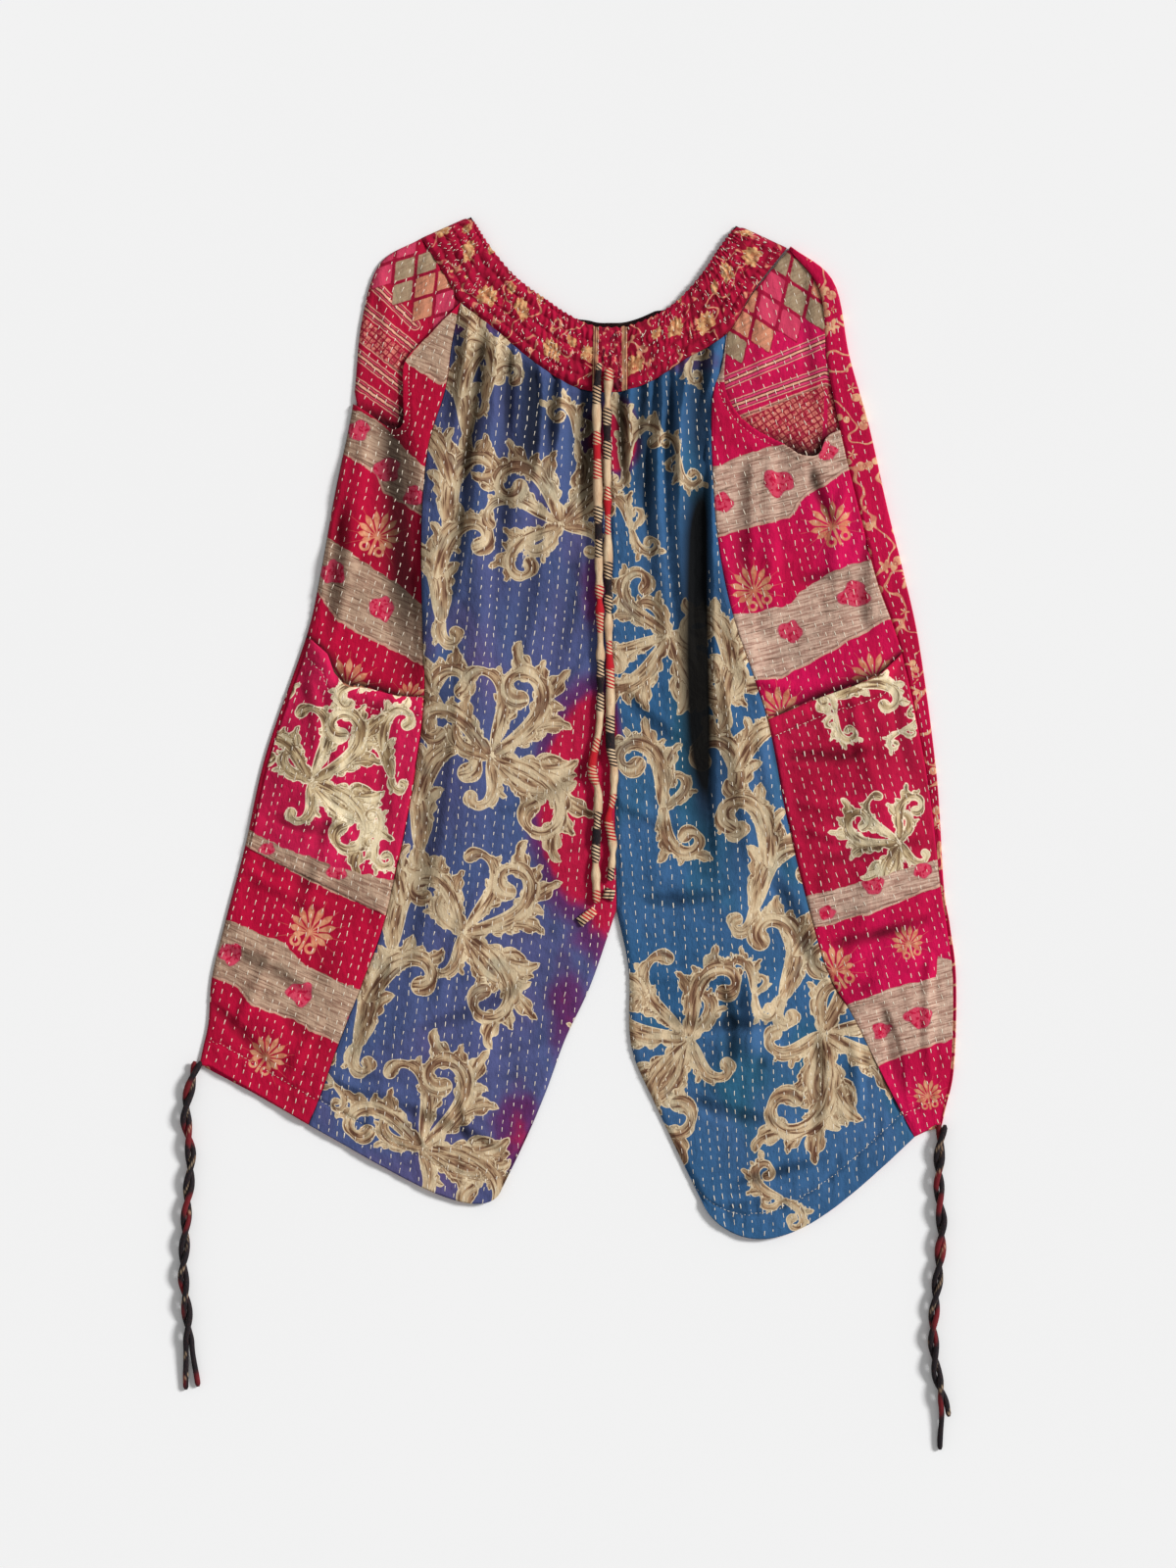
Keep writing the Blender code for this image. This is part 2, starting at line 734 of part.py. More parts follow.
def make_cord(name, points, diameter, material, collection):
    curve = bpy.data.curves.new(name, "CURVE")
    curve.dimensions = "3D"
    curve.bevel_depth = 0.5 * diameter * MM
    curve.bevel_resolution = 2
    curve.use_fill_caps = True
    spline = curve.splines.new("POLY")
    spline.points.add(len(points) - 1)
    for target, point in zip(spline.points, points, strict=True):
        target.co = (*(np.asarray(point) * MM).tolist(), 1)
    curve.materials.append(material)
    piece = bpy.data.objects.new(name, curve)
    collection.objects.link(piece)
    return piece


def cloth_top(x, y):
    """The highest front cloth within a tie's width of a point."""
    reach = 0.5 * WAIST_TIE_WIDTH
    around = [skin(np.array([x + dx, y + dy])) for dx in (-reach, 0, reach) for dy in (-8, 0, 8)]
    return max(around) + WALL


def waist_tie_route(side):
    radius = 0.5 * WAIST_TIE_WIDTH
    return [(r.x, r.y, cloth_top(r.x, r.y) + CORD_REST + radius) for r in WAIST_TIES[side]]


def ankle_strand_route(side, strand):
    """One of two strands that twist round each other and part near their ends."""
    middle = cord_points([(r.x, r.y, 0) for r in ANKLE_TIES[side]], 9)
    share = np.linspace(0, 1, len(middle))
    turned = np.minimum(1, share / ANKLE_PARTING)
    angle = 2 * math.pi * ANKLE_TWISTS * turned + (math.pi if strand == 2 else 0)
    parting = smooth_step(ANKLE_PARTING, 1.0, share)
    sign = 1 if strand == 2 else -1
    half = 0.5 * ANKLE_STRAND_APART
    radius = 0.5 * ANKLE_STRAND
    across = half * np.cos(angle) * (1 - parting) + sign * ANKLE_SPREAD[side] * parting
    height = radius + half * (1 + np.sin(angle)) * (1 - parting)
    route = np.stack([middle[:, 0] + across, middle[:, 1], height], axis=1)
    return route[: round(len(route) * ANKLE_SHORTER[side])] if strand == 2 else route


def make_tie_tip(name, centre, size, turn, material, collection):
    """The folded cloth end of a waist tie: a soft flat tab."""
    bpy.ops.mesh.primitive_cube_add(size=1)
    piece = bpy.context.object
    for owner in list(piece.users_collection):
        owner.objects.unlink(piece)
    collection.objects.link(piece)
    piece.name = name
    piece.data.name = name
    for vertex in piece.data.vertices:
        vertex.co = [c * s * MM for c, s in zip(vertex.co, size, strict=True)]
    height = cloth_top(*centre) + CORD_REST + 0.5 * size[2]
    piece.location = (centre[0] * MM, centre[1] * MM, height * MM)
    piece.rotation_euler = (0, 0, math.radians(turn))
    soft = piece.modifiers.new("soft edges", "BEVEL")
    soft.width = 0.3 * size[2] * MM
    soft.segments = 2
    piece.data.materials.append(material)
    return piece


def make_panels(collection, cutters):
    make_back_left(cloth_material("back_left", COLOURS["vine"]), collection)
    make_back_right(cloth_material("back_right", COLOURS["vine"]), collection)
    for leg in STATIONS:
        make_front(leg, cloth_material(f"front_{leg}", COLOURS[f"blue_{leg}"]), collection)
        make_yoke(leg, cloth_material(f"yoke_{leg}", COLOURS["yoke"]), collection)
        crimson = cloth_material(f"side_{leg}", COLOURS["crimson"])
        make_side(leg, crimson, collection, cutters)
        pocket = cloth_material(f"cargo_pocket_{leg}", COLOURS["pocket"])
        make_cargo_pocket(leg, pocket, collection)


def make_waistband(collection):
    left, right = PLACKET
    for name, start, end, thickness in (
        ("waistband_front_left", WAIST_END["left"], left, BAND_WALL),
        ("waistband_placket", left, right, PLACKET_WALL),
        ("waistband_front_right", right, WAIST_END["right"], BAND_WALL),
    ):
        make_band(name, start, end, thickness, cloth_material(name, COLOURS["band"]), collection)
    make_band_back(cloth_material("waistband_back", COLOURS["band"]), collection)


def make_ties(collection):
    for side in WAIST_TIES:
        name = f"waist_tie_{side}"
        route = cord_points(waist_tie_route(side), 2 * WAIST_TIE_WIDTH)
        make_cord(name, route, WAIST_TIE_WIDTH, cloth_material(name, COLOURS["tie"]), collection)
        tip = cloth_material(f"{name}_tip", COLOURS["tie"])
        make_tie_tip(f"waist_tie_tip_{side}", *TIE_TIPS[side], tip, collection)
        for strand in (1, 2):
            name = f"ankle_tie_{side}_{strand}"
            route = ankle_strand_route(side, strand)
            ankle = cloth_material(name, COLOURS["ankle"])
            make_cord(name, route, ANKLE_STRAND, ankle, collection)


def main():
    for item in list(bpy.data.objects):
        bpy.data.objects.remove(item, do_unlink=True)
    collection = new_collection("cargo_capri_joggers")
    cutters = new_collection("cutters")
    make_panels(collection, cutters)
    make_waistband(collection)
    make_ties(collection)


main()
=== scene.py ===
"""Looks of the cargo capri joggers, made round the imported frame. Lengths are in millimetres."""
import math
from collections import namedtuple

import bpy
import numpy as np
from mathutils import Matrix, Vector
from mathutils.bvhtree import BVHTree
from numpy.lib.stride_tricks import sliding_window_view


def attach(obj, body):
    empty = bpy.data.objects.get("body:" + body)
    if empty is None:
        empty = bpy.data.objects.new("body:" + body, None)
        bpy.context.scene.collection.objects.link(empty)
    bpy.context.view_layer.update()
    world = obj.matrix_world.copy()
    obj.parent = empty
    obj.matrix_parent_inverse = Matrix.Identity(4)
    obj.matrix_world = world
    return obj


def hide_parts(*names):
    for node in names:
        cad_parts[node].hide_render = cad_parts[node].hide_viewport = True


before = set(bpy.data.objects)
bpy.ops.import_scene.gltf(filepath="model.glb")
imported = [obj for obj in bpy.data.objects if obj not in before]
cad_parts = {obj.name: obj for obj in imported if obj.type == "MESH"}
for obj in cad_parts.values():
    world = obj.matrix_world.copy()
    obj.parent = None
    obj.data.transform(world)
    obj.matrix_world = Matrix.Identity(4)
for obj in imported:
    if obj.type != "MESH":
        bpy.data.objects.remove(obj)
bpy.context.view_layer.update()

MM = 0.001

# Thicknesses of a panel and of its cloth, and heights: of the front cloth above the back, of what
# lies deeper or stands off. A folded edge rolls over within FOLD_ROLL of its line.
WALL = 1.8
CLOTH = 1.3
SKIN_BASE = 2.3
YOKE_DROP = 2.4
HIP_LIFT = 2.6
HIP_LIFT_FULL_Y = 140
HIP_LIFT_NONE_Y = 70
FOLD_ROLL = 5.0
MOUTH_GAPE = 2.8
MOUTH_GAPE_REACH = 26
CORD_REST = 0.5

# Rows of the leg's sections where something starts or ends.
CROTCH_ROW = 8
HEM_ROW = 12
YOKE_END_ROW = 3.9
POCKET_ROWS = (6, 8)

# How far panels keep from their neighbours, and the back panels from the edges of the front.
SEAM_EASE = 0.08
BACK_INSET = 5.2
BACK_TOP_GAP = 1.5
BACK_REACH = {"left": BACK_INSET, "right": 3.2}
# Heights of a back panel: its underside and how rough that is, and its upper side.
BACK_LOW = 0.55
BACK_ROUGH = 0.22
BACK_TOP = 1.95
# The right back panel turns over on to the front: how far inside its fold that is done, and the
# heights of its outer and inner side where it starts to turn.
TURN_REACH = 1.1
TURN_LOW = 0.35
TURN_LOW_INSIDE = 1.9
# The strip in front: the least heights of its two sides, and how far from the fold the inner starts.
STRIP_LOW = 3.4
STRIP_LOW_INSIDE = 2.1
STRIP_INSIDE_START = 2.5
# Where a cargo pocket starts and ends across the side panel, and the share of its width by which
# the left hip panel is tucked in at its low end.
POCKET_COLUMNS = {"left": (0.008, 0.965), "right": (0.008, 0.992)}
YOKE_TUCK = 6 / 92
# A cargo pocket swells inwards from its seams. Its mouth hangs down by a share of a row of sections,
# and stands off at its middle. The gap inside the mouth gets painted shade, to a width at places along it.
POCKET_SWELL = 1.9
POCKET_SWELL_REACH = 26
POCKET_HANG_ROWS = 0.95
POCKET_GAPE = 3.6
POCKET_GAPE_REACH = 26
POCKET_GAPE_MIDDLE = 0.55
POCKET_GAP_SHADE_WIDTHS = ((0, 3), (0.3, 6), (0.7, 9), (0.85, 5), (1, 3))
MOUTH_GAP_SHADE = 1.02
# The hip panel lies low beyond this far under the side panel. The shade that the mouth's lip casts
# on it is strongest within a reach of the mouth's lowest point.
MOUTH_OVERLAP = 4
MOUTH_SHADE_REACH = 44

# The bow of each hem, and how far it reaches down at its outer corner, round the ankle tie.
HEM_BOW = {"left": 26, "right": 48}
HEM_SKEW = {"left": 0.5, "right": 0.72}
TIE_MOUTH = {"left": 3.6, "right": 4.6}

# The waistband: its grid, its rows of elastic, its scalloped top edge, the shade inside it and its
# flower heads, which repeat at a height, in a size and at a turn.
BAND_DEPTH = 54
BAND_SPACING = 0.9
BAND_BACK_SPACING = 2.0
ELASTIC_ROWS = 5.3
SCALLOP_PITCH = 6.6
SCALLOP_DEPTH = 0.7
DARK_INSIDE = 1.05
HEAD_PITCH = 19
HEADS = [(-15, 19, 8), (12, 11, 176), (-4, 18, -20), (20, 8, 60)]

# The puffs between the rows of elastic: how high they start, what they add, and the height and the
# pitch of the gathers in them. An outer corner is drawn in by an amount, over a length.
PUFF_BASE = 3.1
PUFF_HEIGHT = 1.5
PUFF_GATHER = 0.6
PUFF_GATHER_PITCH = 7.6
CORNER_DRAWN_IN = 7
CORNER_LENGTH = 9

# Distances of the stitched lines from the scooped mouth and from the top of a cargo pocket.
MOUTH_STITCH = 5
POCKET_HEM = 15
# A rounded ridge, or a groove, along a line at a distance from an edge: in the cloth along the two
# kinds of mouth, in the painted shade along a cargo pocket's hem, and in the painted highlight on its lip.
Ridge = namedtuple("Ridge", "height line reach")
MOUTH_RIDGES = (Ridge(0.5, 0, 3.5), Ridge(-0.7, MOUTH_STITCH, 2.4))
POCKET_RIDGES = (Ridge(0.7, 4, 7), Ridge(-0.9, 14, 2.4))
POCKET_HEM_SHADE = Ridge(0.3, 14.5, 3)
POCKET_LIP_LIGHT = Ridge(0.2, 4, 6)
# The small gathers below the waistband, on the front and on the hip panels.
Shirring = namedtuple("Shirring", "height pitch reach")
FRONT_SHIRRING = Shirring(0.9, 12.5, 16)
HIP_SHIRRING = Shirring(0.5, 12.0, 18)
# The direction of the quilting, and how far it stretches the unevenness of the cloth.
QUILT_TURN = 82
QUILT_STRETCH = 0.55
# The depths at which the painted shade of a trough and of a hollow is at its darkest, and how dark it is
# then.
TROUGH_DEPTH = 6.4
DARK_TROUGH = 0.62
HOLLOW_START = 0.25
HOLLOW_DEPTH = 3.6
DARK_HOLLOW = 0.8

# The line of stitches above a hem, and the size, stretch, seed, height and reach of the puckers
# round it. dip is the depth of the line itself, which is HEM_LINE_REACH wide on either side.
HEM_LINE_REACH = 3
Hem = namedtuple("Hem", "line size stretch seed height reach dip")
FRONT_HEM = Hem(22, 5.5, 0.3, 32, 0.9, 15, 1.0)
SIDE_HEM = Hem(20, 6, 0.4, 33, 0.8, 13, 0.9)
POCKET_MOUTH_HEM = Hem(12, 5, 1.0, 51, 0.5, 10, 0)

# How a panel is laid out: the spacing of its grid, its width, the seed of its unevenness and the
# turn of its rows of stitches.
Layout = namedtuple("Layout", "spacing width seed stitch_turn")
LAYOUTS = {
    "front_left": Layout(1.55, 218, 10, 84),
    "front_right": Layout(1.55, 214, 20, 94),
    "side_left": Layout(1.9, 132, 30, 76),
    "side_right": Layout(1.9, 140, 40, 105),
    "cargo_pocket_left": Layout(1.5, 140, 50, 76),
    "cargo_pocket_right": Layout(1.5, 140, 50, 105),
    "yoke_left": Layout(1.6, 92, 60, 70),
    "yoke_right": Layout(1.6, 92, 60, 108),
    "back_left": Layout(4.0, 300, 80, 88),
    "back_right": Layout(4.0, 300, 80, 88),
}


def by_name(kind, tables):
    """Tables of rows with named columns, each under its name."""
    return {name: [kind(*row) for row in rows] for name, rows in tables.items()}


# ---- Measures of the garment ----

# The waistband from the left end to the right end: x and y of its lower edge and of its top edge.
WAIST = np.array([
    (-125, 400, -85, 418),
    (-102, 363, -74, 400),
    (-93, 347, -64, 386),
    (-67, 327, -47, 367),
    (-36, 301, -24, 350),
    (-6, 281, -3, 336),
    (14, 275, 15, 328),
    (28, 274, 29, 327),
    (43, 276, 43, 328),
    (64, 284, 62, 335),
    (92, 302, 83, 348),
    (124, 322, 104, 371),
    (145, 356, 116, 389),
    (173, 392, 132, 411),
])
WAIST_LOW, WAIST_TOP = WAIST[:, :2], WAIST[:, 2:]
WAIST_SEAM = {"left": 2, "right": 11}
WAIST_END = {"left": 0, "right": 13}
WAIST_CENTRE = 7
PLACKET = (6, 8)

# A leg's sections, from the waist to the hem: x and y of the outer fold, how far the back panel
# turns over the fold on to the front, x and y of the seam between side and front panel, and x
# and y of the inner edge, which is the centre front and then the inseam.
STATIONS = {
    "left": [
        (-125, 400, 0, -93, 347, 28, 274),
        (-159, 379, 0, -100, 315, 28, 243),
        (-174, 331, 0, -106, 275, 28, 203),
        (-181, 264, 0, -120, 227, 28, 155),
        (-195, 195, 0, -125, 159, 28, 91),
        (-208, 123, 0, -124, 83, 30, 19),
        (-219, 75, 0, -123, 25, 32, -37),
        (-252, -21, 0, -133, -53, 33, -97),
        (-269, -96, 0, -154, -152, 34, -148),
        (-285, -157, 0, -172, -204, 13, -209),
        (-296, -203, 0, -193, -258, -8, -254),
        (-299, -241, 0, -206, -295, -28, -307),
        (-306, -270, 0, -217, -323, -59, -370),
    ],
    "right": [
        (176, 393, 3, 124, 322, 28, 274),
        (211, 364, 14, 120, 297, 28, 243),
        (224, 303, 19, 112, 267, 28, 203),
        (240, 246, 24, 112, 213, 28, 155),
        (255, 179, 23, 117, 150, 28, 91),
        (268, 127, 23, 129, 91, 30, 19),
        (281, 68, 16, 157, 7, 32, -37),
        (295, -37, 8, 173, -74, 33, -97),
        (301, -128, 3, 195, -163, 34, -148),
        (306, -161, 3, 209, -204, 44, -197),
        (311, -205, 3, 228, -237, 46, -258),
        (309, -279, 3, 255, -291, 65, -305),
        (299, -320, 3, 277, -333, 104, -385),
    ],
}

# The scooped pocket mouths, from the seam at the waist to the outer edge.
MOUTHS = {
    "left": [
        (-93, 347), (-117, 322), (-138, 299), (-140, 272), (-140, 249), (-148, 244), (-159, 250),
        (-170, 258), (-183, 266),
    ],
    "right": [
        (124, 322), (122, 281), (131, 259), (147, 244), (170, 232), (184, 223), (198, 223),
        (205, 237), (215, 243),
    ],
}

# How far the mouth of a cargo pocket hangs down, from the seam to the outer edge.
POCKET_SAG = {
    "left": [(0, 0), (0.23, 10), (0.49, 16), (0.68, 24), (0.79, 17), (0.84, 5), (1, 0)],
    "right": [(0, 0), (0.4, 3), (0.65, 7), (0.82, 9), (1, 0)],
}

# Where the mouth stands off the yoke, and the corners that close the cut above it.
MOUTH_GAPE_AT = {"left": (-149, 249), "right": (190, 228)}
MOUTH_CUT_CORNERS = {
    "left": [(-215, 270), (-215, 440), (-60, 440)],
    "right": [(250, 236), (250, 440), (118, 440), (121, 330)],
}

# Gathers of the front panels, which start at the waistband. across: place between seam, 0, and
# centre, 1. reach: the row where the gather has gone.
Gather = namedtuple("Gather", "across half_width height reach")
GATHERS = by_name(Gather, {
    "left": [
        (0.08, 0.08, 5.5, 7.0),
        (0.30, 0.11, 8.0, 8.5),
        (0.52, 0.10, 6.5, 5.0),
        (0.70, 0.08, 6.0, 3.5),
        (0.84, 0.06, 3.5, 2.5),
    ],
    "right": [
        (0.10, 0.08, 3.5, 4.0),
        (0.33, 0.11, 8.0, 9.0),
        (0.54, 0.09, 5.5, 5.5),
        (0.70, 0.07, 5.5, 3.5),
        (0.84, 0.06, 3.5, 2.5),
    ],
})

# Larger folds and crowns of the front cloth: a ridge from one point to another.
Fold = namedtuple("Fold", "x0 y0 x1 y1 half_width height")
FOLDS = [Fold(*row) for row in [
    (-50, 200, -110, -300, 75, 4.0),
    (75, 200, 160, -320, 75, 4.0),
    (-185, 60, -240, -200, 40, 2.5),
    (230, 60, 270, -230, 45, 2.5),
    (-117, 125, -118, 40, 20, 4.0),
    (128, 125, 140, 50, 18, 4.0),
    (-196, 140, -208, 40, 16, 3.0),
    (-260, -230, -215, -275, 18, 2.5),
    (120, -290, 158, -210, 20, 3.5),
    (90, -245, 160, -262, 16, 2.5),
    (190, -300, 250, -210, 18, 3.0),
    (-150, -300, -75, -255, 18, 3.0),
    (-90, -190, -5, -180, 18, 2.5),
    (70, -120, 130, -150, 18, 2.5),
    (258, -80, 225, -200, 18, 2.5),
]]

# Cord routes on the surface below them, and the ties' sizes and twists.
WAIST_TIES = {
    "left": [
        (20, 297), (18, 275), (18, 243), (19, 179), (20, 115), (21, 51), (20, 3), (14, -32),
        (19, -52), (18, -81), (17, -108), (18, -142),
    ],
    "right": [
        (28, 293), (26.5, 259), (26.5, 211), (27, 147), (27.5, 83), (29, 35), (29, -13), (32, -33),
        (31, -57), (27.5, -74), (31, -96), (29, -124),
    ],
}
ANKLE_TIES = {
    "left": [
        (-307.3, -271.4), (-313, -290), (-317, -315), (-313, -349), (-316, -389), (-318, -421),
        (-319, -445), (-316, -475), (-314, -510), (-312, -539),
    ],
    "right": [
        (299.3, -323), (297, -350), (297, -381), (299, -405), (297, -437), (294, -465), (292, -493),
        (295, -525), (301, -552), (304, -588),
    ],
}
ANKLE_SPREAD = {"left": 5.0, "right": 6.0}
ANKLE_SHORTER = {"left": 0.99, "right": 0.90}
WAIST_TIE_WIDTH = 6.5
ANKLE_STRAND = 4.0
ANKLE_LOOK = 4.6
ANKLE_STRAND_APART = 4.7
ANKLE_TWISTS = 4.5
ANKLE_PARTING = 0.86

# The folded tips of the waist ties: centre, size and turn.
TieTip = namedtuple("TieTip", "centre size turn")
TIE_TIPS = {
    "left": TieTip((10, -153), (17, 8, 3), 38),
    "right": TieTip((28, -135), (9, 9, 3), 70),
}

# Creases: a ridge, or a trough where the height is below 0, from one point over a bend to
# another. left and right: its width on either side of that direction.
Crease = namedtuple("Crease", "x0 y0 x1 y1 x2 y2 left right height")
CREASES = by_name(Crease, {
    "front_left": [
        (-92, 336, -95, 290, -108, 204, 8, 13, -4.2),
        (-73, 328, -77, 280, -92, 180, 7, 16, -4.8),
        (-53, 316, -57, 286, -54, 226, 6, 10, -3.8),
        (-35, 306, -27, 262, -42, 176, 7, 20, -6.4),
        (-15, 296, -15, 262, -22, 206, 6, 11, -4.8),
        (10, 288, 15, 250, 10, 150, 7, 20, -5.8),
        (-52, 300, -54, 230, -66, 90, 9, 12, -3.1),
        (-84, 240, -92, 150, -112, 60, 8, 14, -3.4),
        (-28, 190, -36, 110, -56, 0, 9, 12, -2.5),
        (-100, 60, -118, -20, -120, -110, 10, 14, 3.1),
        (-100, 70, -110, -80, -150, -250, 11, 15, -3.4),
        (12, 60, -10, 20, -52, -10, 10, 8, 2.5),
        (20, -20, -20, -60, -78, -76, 9, 8, -2.5),
        (26, -95, -20, -120, -66, -126, 9, 9, 2.7),
        (-70, -120, -104, -186, -120, -250, 12, 9, 2.7),
        (-40, -205, -90, -240, -150, -250, 9, 8, -2.8),
        (-20, -262, -66, -282, -120, -282, 9, 9, 2.8),
        (-60, -345, -110, -318, -170, -300, 8, 8, -2.7),
        (-152, -190, -176, -236, -186, -284, 9, 8, -3.1),
        (-196, -284, -170, -300, -132, -296, 9, 6, 2.7),
        (-86, -340, -100, -312, -98, -280, 6, 6, -2.2),
        (-120, -342, -132, -322, -126, -300, 5, 5, 2.4),
        (0, 150, -4, 90, -20, 30, 10, 14, -2.1),
    ],
    "front_right": [
        (106, 215, 99, 110, 112, -160, 10, 29, -9.0),
        (107, 330, 101, 270, 106, 170, 9, 20, -5.2),
        (116, 40, 124, -40, 142, -150, 9, 20, -4.0),
        (92, 262, 80, 160, 96, 20, 10, 12, 3.6),
        (56, 290, 60, 240, 60, 136, 8, 16, -5.4),
        (78, 296, 78, 250, 82, 166, 6, 11, -4.4),
        (38, 284, 37, 240, 42, 176, 7, 10, -5.8),
        (66, 292, 66, 262, 68, 220, 5, 8, -3.6),
        (58, 200, 62, 130, 76, 30, 10, 12, -2.5),
        (40, 30, 66, -10, 110, -22, 9, 10, -2.7),
        (38, -60, 74, -80, 120, -80, 10, 9, 2.5),
        (52, -140, 90, -146, 140, -128, 10, 8, -3.1),
        (60, -205, 96, -196, 150, -204, 9, 9, 2.9),
        (70, -236, 120, -248, 176, -236, 10, 8, -3.2),
        (118, -210, 134, -250, 120, -296, 9, 8, -3.4),
        (140, -205, 150, -250, 138, -300, 9, 9, 3.1),
        (160, -120, 186, -170, 206, -226, 12, 9, -3.4),
        (128, -372, 172, -360, 214, -348, 7, 6, -2.8),
        (112, -386, 160, -384, 214, -362, 6, 7, 2.7),
        (196, -250, 204, -300, 190, -350, 9, 9, -3.1),
        (226, -252, 236, -290, 226, -334, 8, 8, 2.7),
        (92, -300, 130, -322, 176, -320, 9, 9, -2.8),
        (150, 0, 160, -60, 182, -130, 10, 9, 2.5),
    ],
    "side_left": [
        (-150, 272, -142, 150, -130, 10, 22, 24, -6.2),
        (-172, 236, -178, 160, -196, 60, 10, 14, 3.1),
        (-190, 182, -197, 120, -204, 52, 12, 8, -4.2),
        (-150, 30, -176, -10, -238, -20, 9, 9, -2.8),
        (-160, -30, -200, -52, -262, -60, 10, 8, 2.7),
        (-196, -64, -220, -110, -232, -170, 9, 12, -3.1),
        (-270, -110, -240, -140, -176, -150, 9, 9, 2.5),
        (-292, -180, -256, -186, -200, -230, 9, 9, -2.8),
        (-300, -224, -276, -240, -236, -292, 8, 8, -2.7),
        (-246, -180, -262, -220, -286, -260, 8, 8, 2.5),
        (-150, 150, -170, 120, -196, 100, 8, 8, 2.2),
        (-206, -240, -226, -262, -238, -300, 7, 7, 2.4),
        (-160, 60, -186, 20, -232, 20, 9, 9, 2.4),
    ],
    "side_right": [
        (140, 226, 132, 140, 144, 50, 8, 12, -3.0),
        (160, 222, 156, 150, 166, 60, 10, 9, 2.5),
        (192, 214, 196, 190, 214, 160, 7, 8, -3.6),
        (222, 200, 206, 150, 216, 90, 9, 9, 2.7),
        (240, 160, 226, 110, 244, 60, 8, 9, -2.7),
        (150, 40, 186, 20, 246, 50, 9, 8, 2.5),
        (170, -20, 210, -34, 272, -16, 8, 9, -2.8),
        (184, -80, 230, -96, 292, -76, 8, 9, 2.5),
        (206, -176, 250, -170, 300, -150, 7, 8, -3.4),
        (222, -206, 262, -196, 304, -180, 8, 8, 2.5),
        (250, -226, 262, -262, 268, -306, 7, 8, -3.1),
        (290, -186, 284, -236, 292, -300, 8, 7, 2.7),
        (236, -260, 246, -282, 272, -318, 6, 7, 2.5),
        (180, 120, 204, 126, 240, 120, 8, 8, -2.2),
    ],
    "cargo_pocket_left": [
        (-244, -73, -214, -86, -185, -80, 7, 7, -3.4),
        (-196, 40, -200, 0, -186, -60, 10, 9, 2.2),
        (-232, 10, -240, -40, -262, -80, 9, 9, -2.4),
        (-150, 0, -160, -60, -152, -110, 8, 10, -2.2),
        (-216, 40, -204, 4, -214, -40, 7, 8, 2.4),
        (-178, -96, -200, -60, -236, -40, 8, 8, 2.0),
    ],
    "cargo_pocket_right": [
        (166, -25, 206, -22, 252, -16, 7, 7, -3.2),
        (216, -154, 256, -160, 300, -158, 7, 7, -3.4),
        (180, -60, 226, -70, 282, -50, 9, 8, 2.2),
        (196, -110, 240, -100, 296, -90, 8, 9, -2.2),
        (226, 26, 230, -10, 250, -60, 9, 9, 2.2),
        (262, 40, 262, 0, 284, -60, 8, 8, -2.5),
    ],
    "yoke_left": [
        (-160, 372, -150, 330, -156, 280, 9, 8, 1.7),
        (-130, 380, -128, 350, -140, 316, 8, 9, -1.8),
    ],
    "yoke_right": [
        (186, 372, 190, 310, 196, 240, 7, 10, -2.1),
        (150, 350, 156, 300, 150, 256, 9, 9, 1.7),
        (206, 340, 210, 300, 222, 256, 8, 8, 1.5),
    ],
})

# The printed side panels. Woven bands lie between a top and a bottom edge, blots are flowers
# in them, and palms are larger flowers: centre, size and turn.
BANDS = {
    "left": [
        (
            [(-197, 273), (-184, 263), (-159, 249), (-147, 238), (-135, 224), (-109, 203)],
            [(-205, 233), (-189, 224), (-161, 207), (-156, 192), (-124, 174), (-109, 166)],
        ),
        (
            [(-217, 166), (-203, 157), (-184, 144), (-161, 129), (-147, 120), (-109, 89)],
            [(-225, 123), (-212, 113), (-192, 87), (-175, 76), (-152, 66), (-105, 41)],
        ),
        (
            [(-301, -149), (-285, -156), (-259, -166), (-235, -176), (-220, -193), (-161, -220)],
            [(-309, -197), (-296, -203), (-276, -210), (-264, -225), (-232, -237), (-173, -268)],
        ),
        (
            [(-285, -74), (-267, -82), (-229, -100), (-193, -113), (-133, -128)],
            [(-285, -87), (-268, -96), (-237, -113), (-197, -133), (-137, -159)],
        ),
        ([(-139, 299), (-102, 338), (-94, 336)], [(-120, 286), (-107, 279), (-94, 290)]),
    ],
    "right": [
        (
            [(99, 209), (113, 213), (145, 226), (172, 232), (185, 224), (212, 244), (227, 251)],
            [(103, 153), (118, 156), (149, 165), (176, 172), (188, 188), (219, 208), (235, 216)],
        ),
        (
            [(115, 89), (129, 92), (154, 96), (176, 102), (183, 112), (215, 129), (255, 144)],
            [(131, 36), (149, 40), (169, 40), (180, 48), (215, 66), (255, 88), (271, 94)],
        ),
        (
            [(209, -231), (225, -225), (257, -212), (295, -202), (311, -197)],
            [(231, -279), (247, -276), (271, -265), (296, -257), (315, -252)],
        ),
        (
            [(171, -141), (186, -138), (244, -122), (297, -106), (311, -101)],
            [(177, -167), (195, -163), (244, -150), (300, -128), (313, -124)],
        ),
        ([(296, -186), (312, -189)], [(296, -236), (312, -239)]),
        ([(110, 330), (126, 330)], [(110, 282), (126, 282)]),
    ],
}
PALMS = {
    "left": [
        (-161, 156, 38, -24),
        (-186, 34, 42, 18),
        (-216, -166, 41, -30),
        (-252, -268, 34, -34),
        (-286, -120, 25, 30),
        (-136, 24, 28, -60),
    ],
    "right": [
        (146, 112, 38, 26),
        (210, 164, 38, 26),
        (244, 40, 39, 12),
        (168, 12, 40, 34),
        (212, -198, 39, 34),
        (272, -176, 28, 20),
        (288, -300, 25, 12),
    ],
}
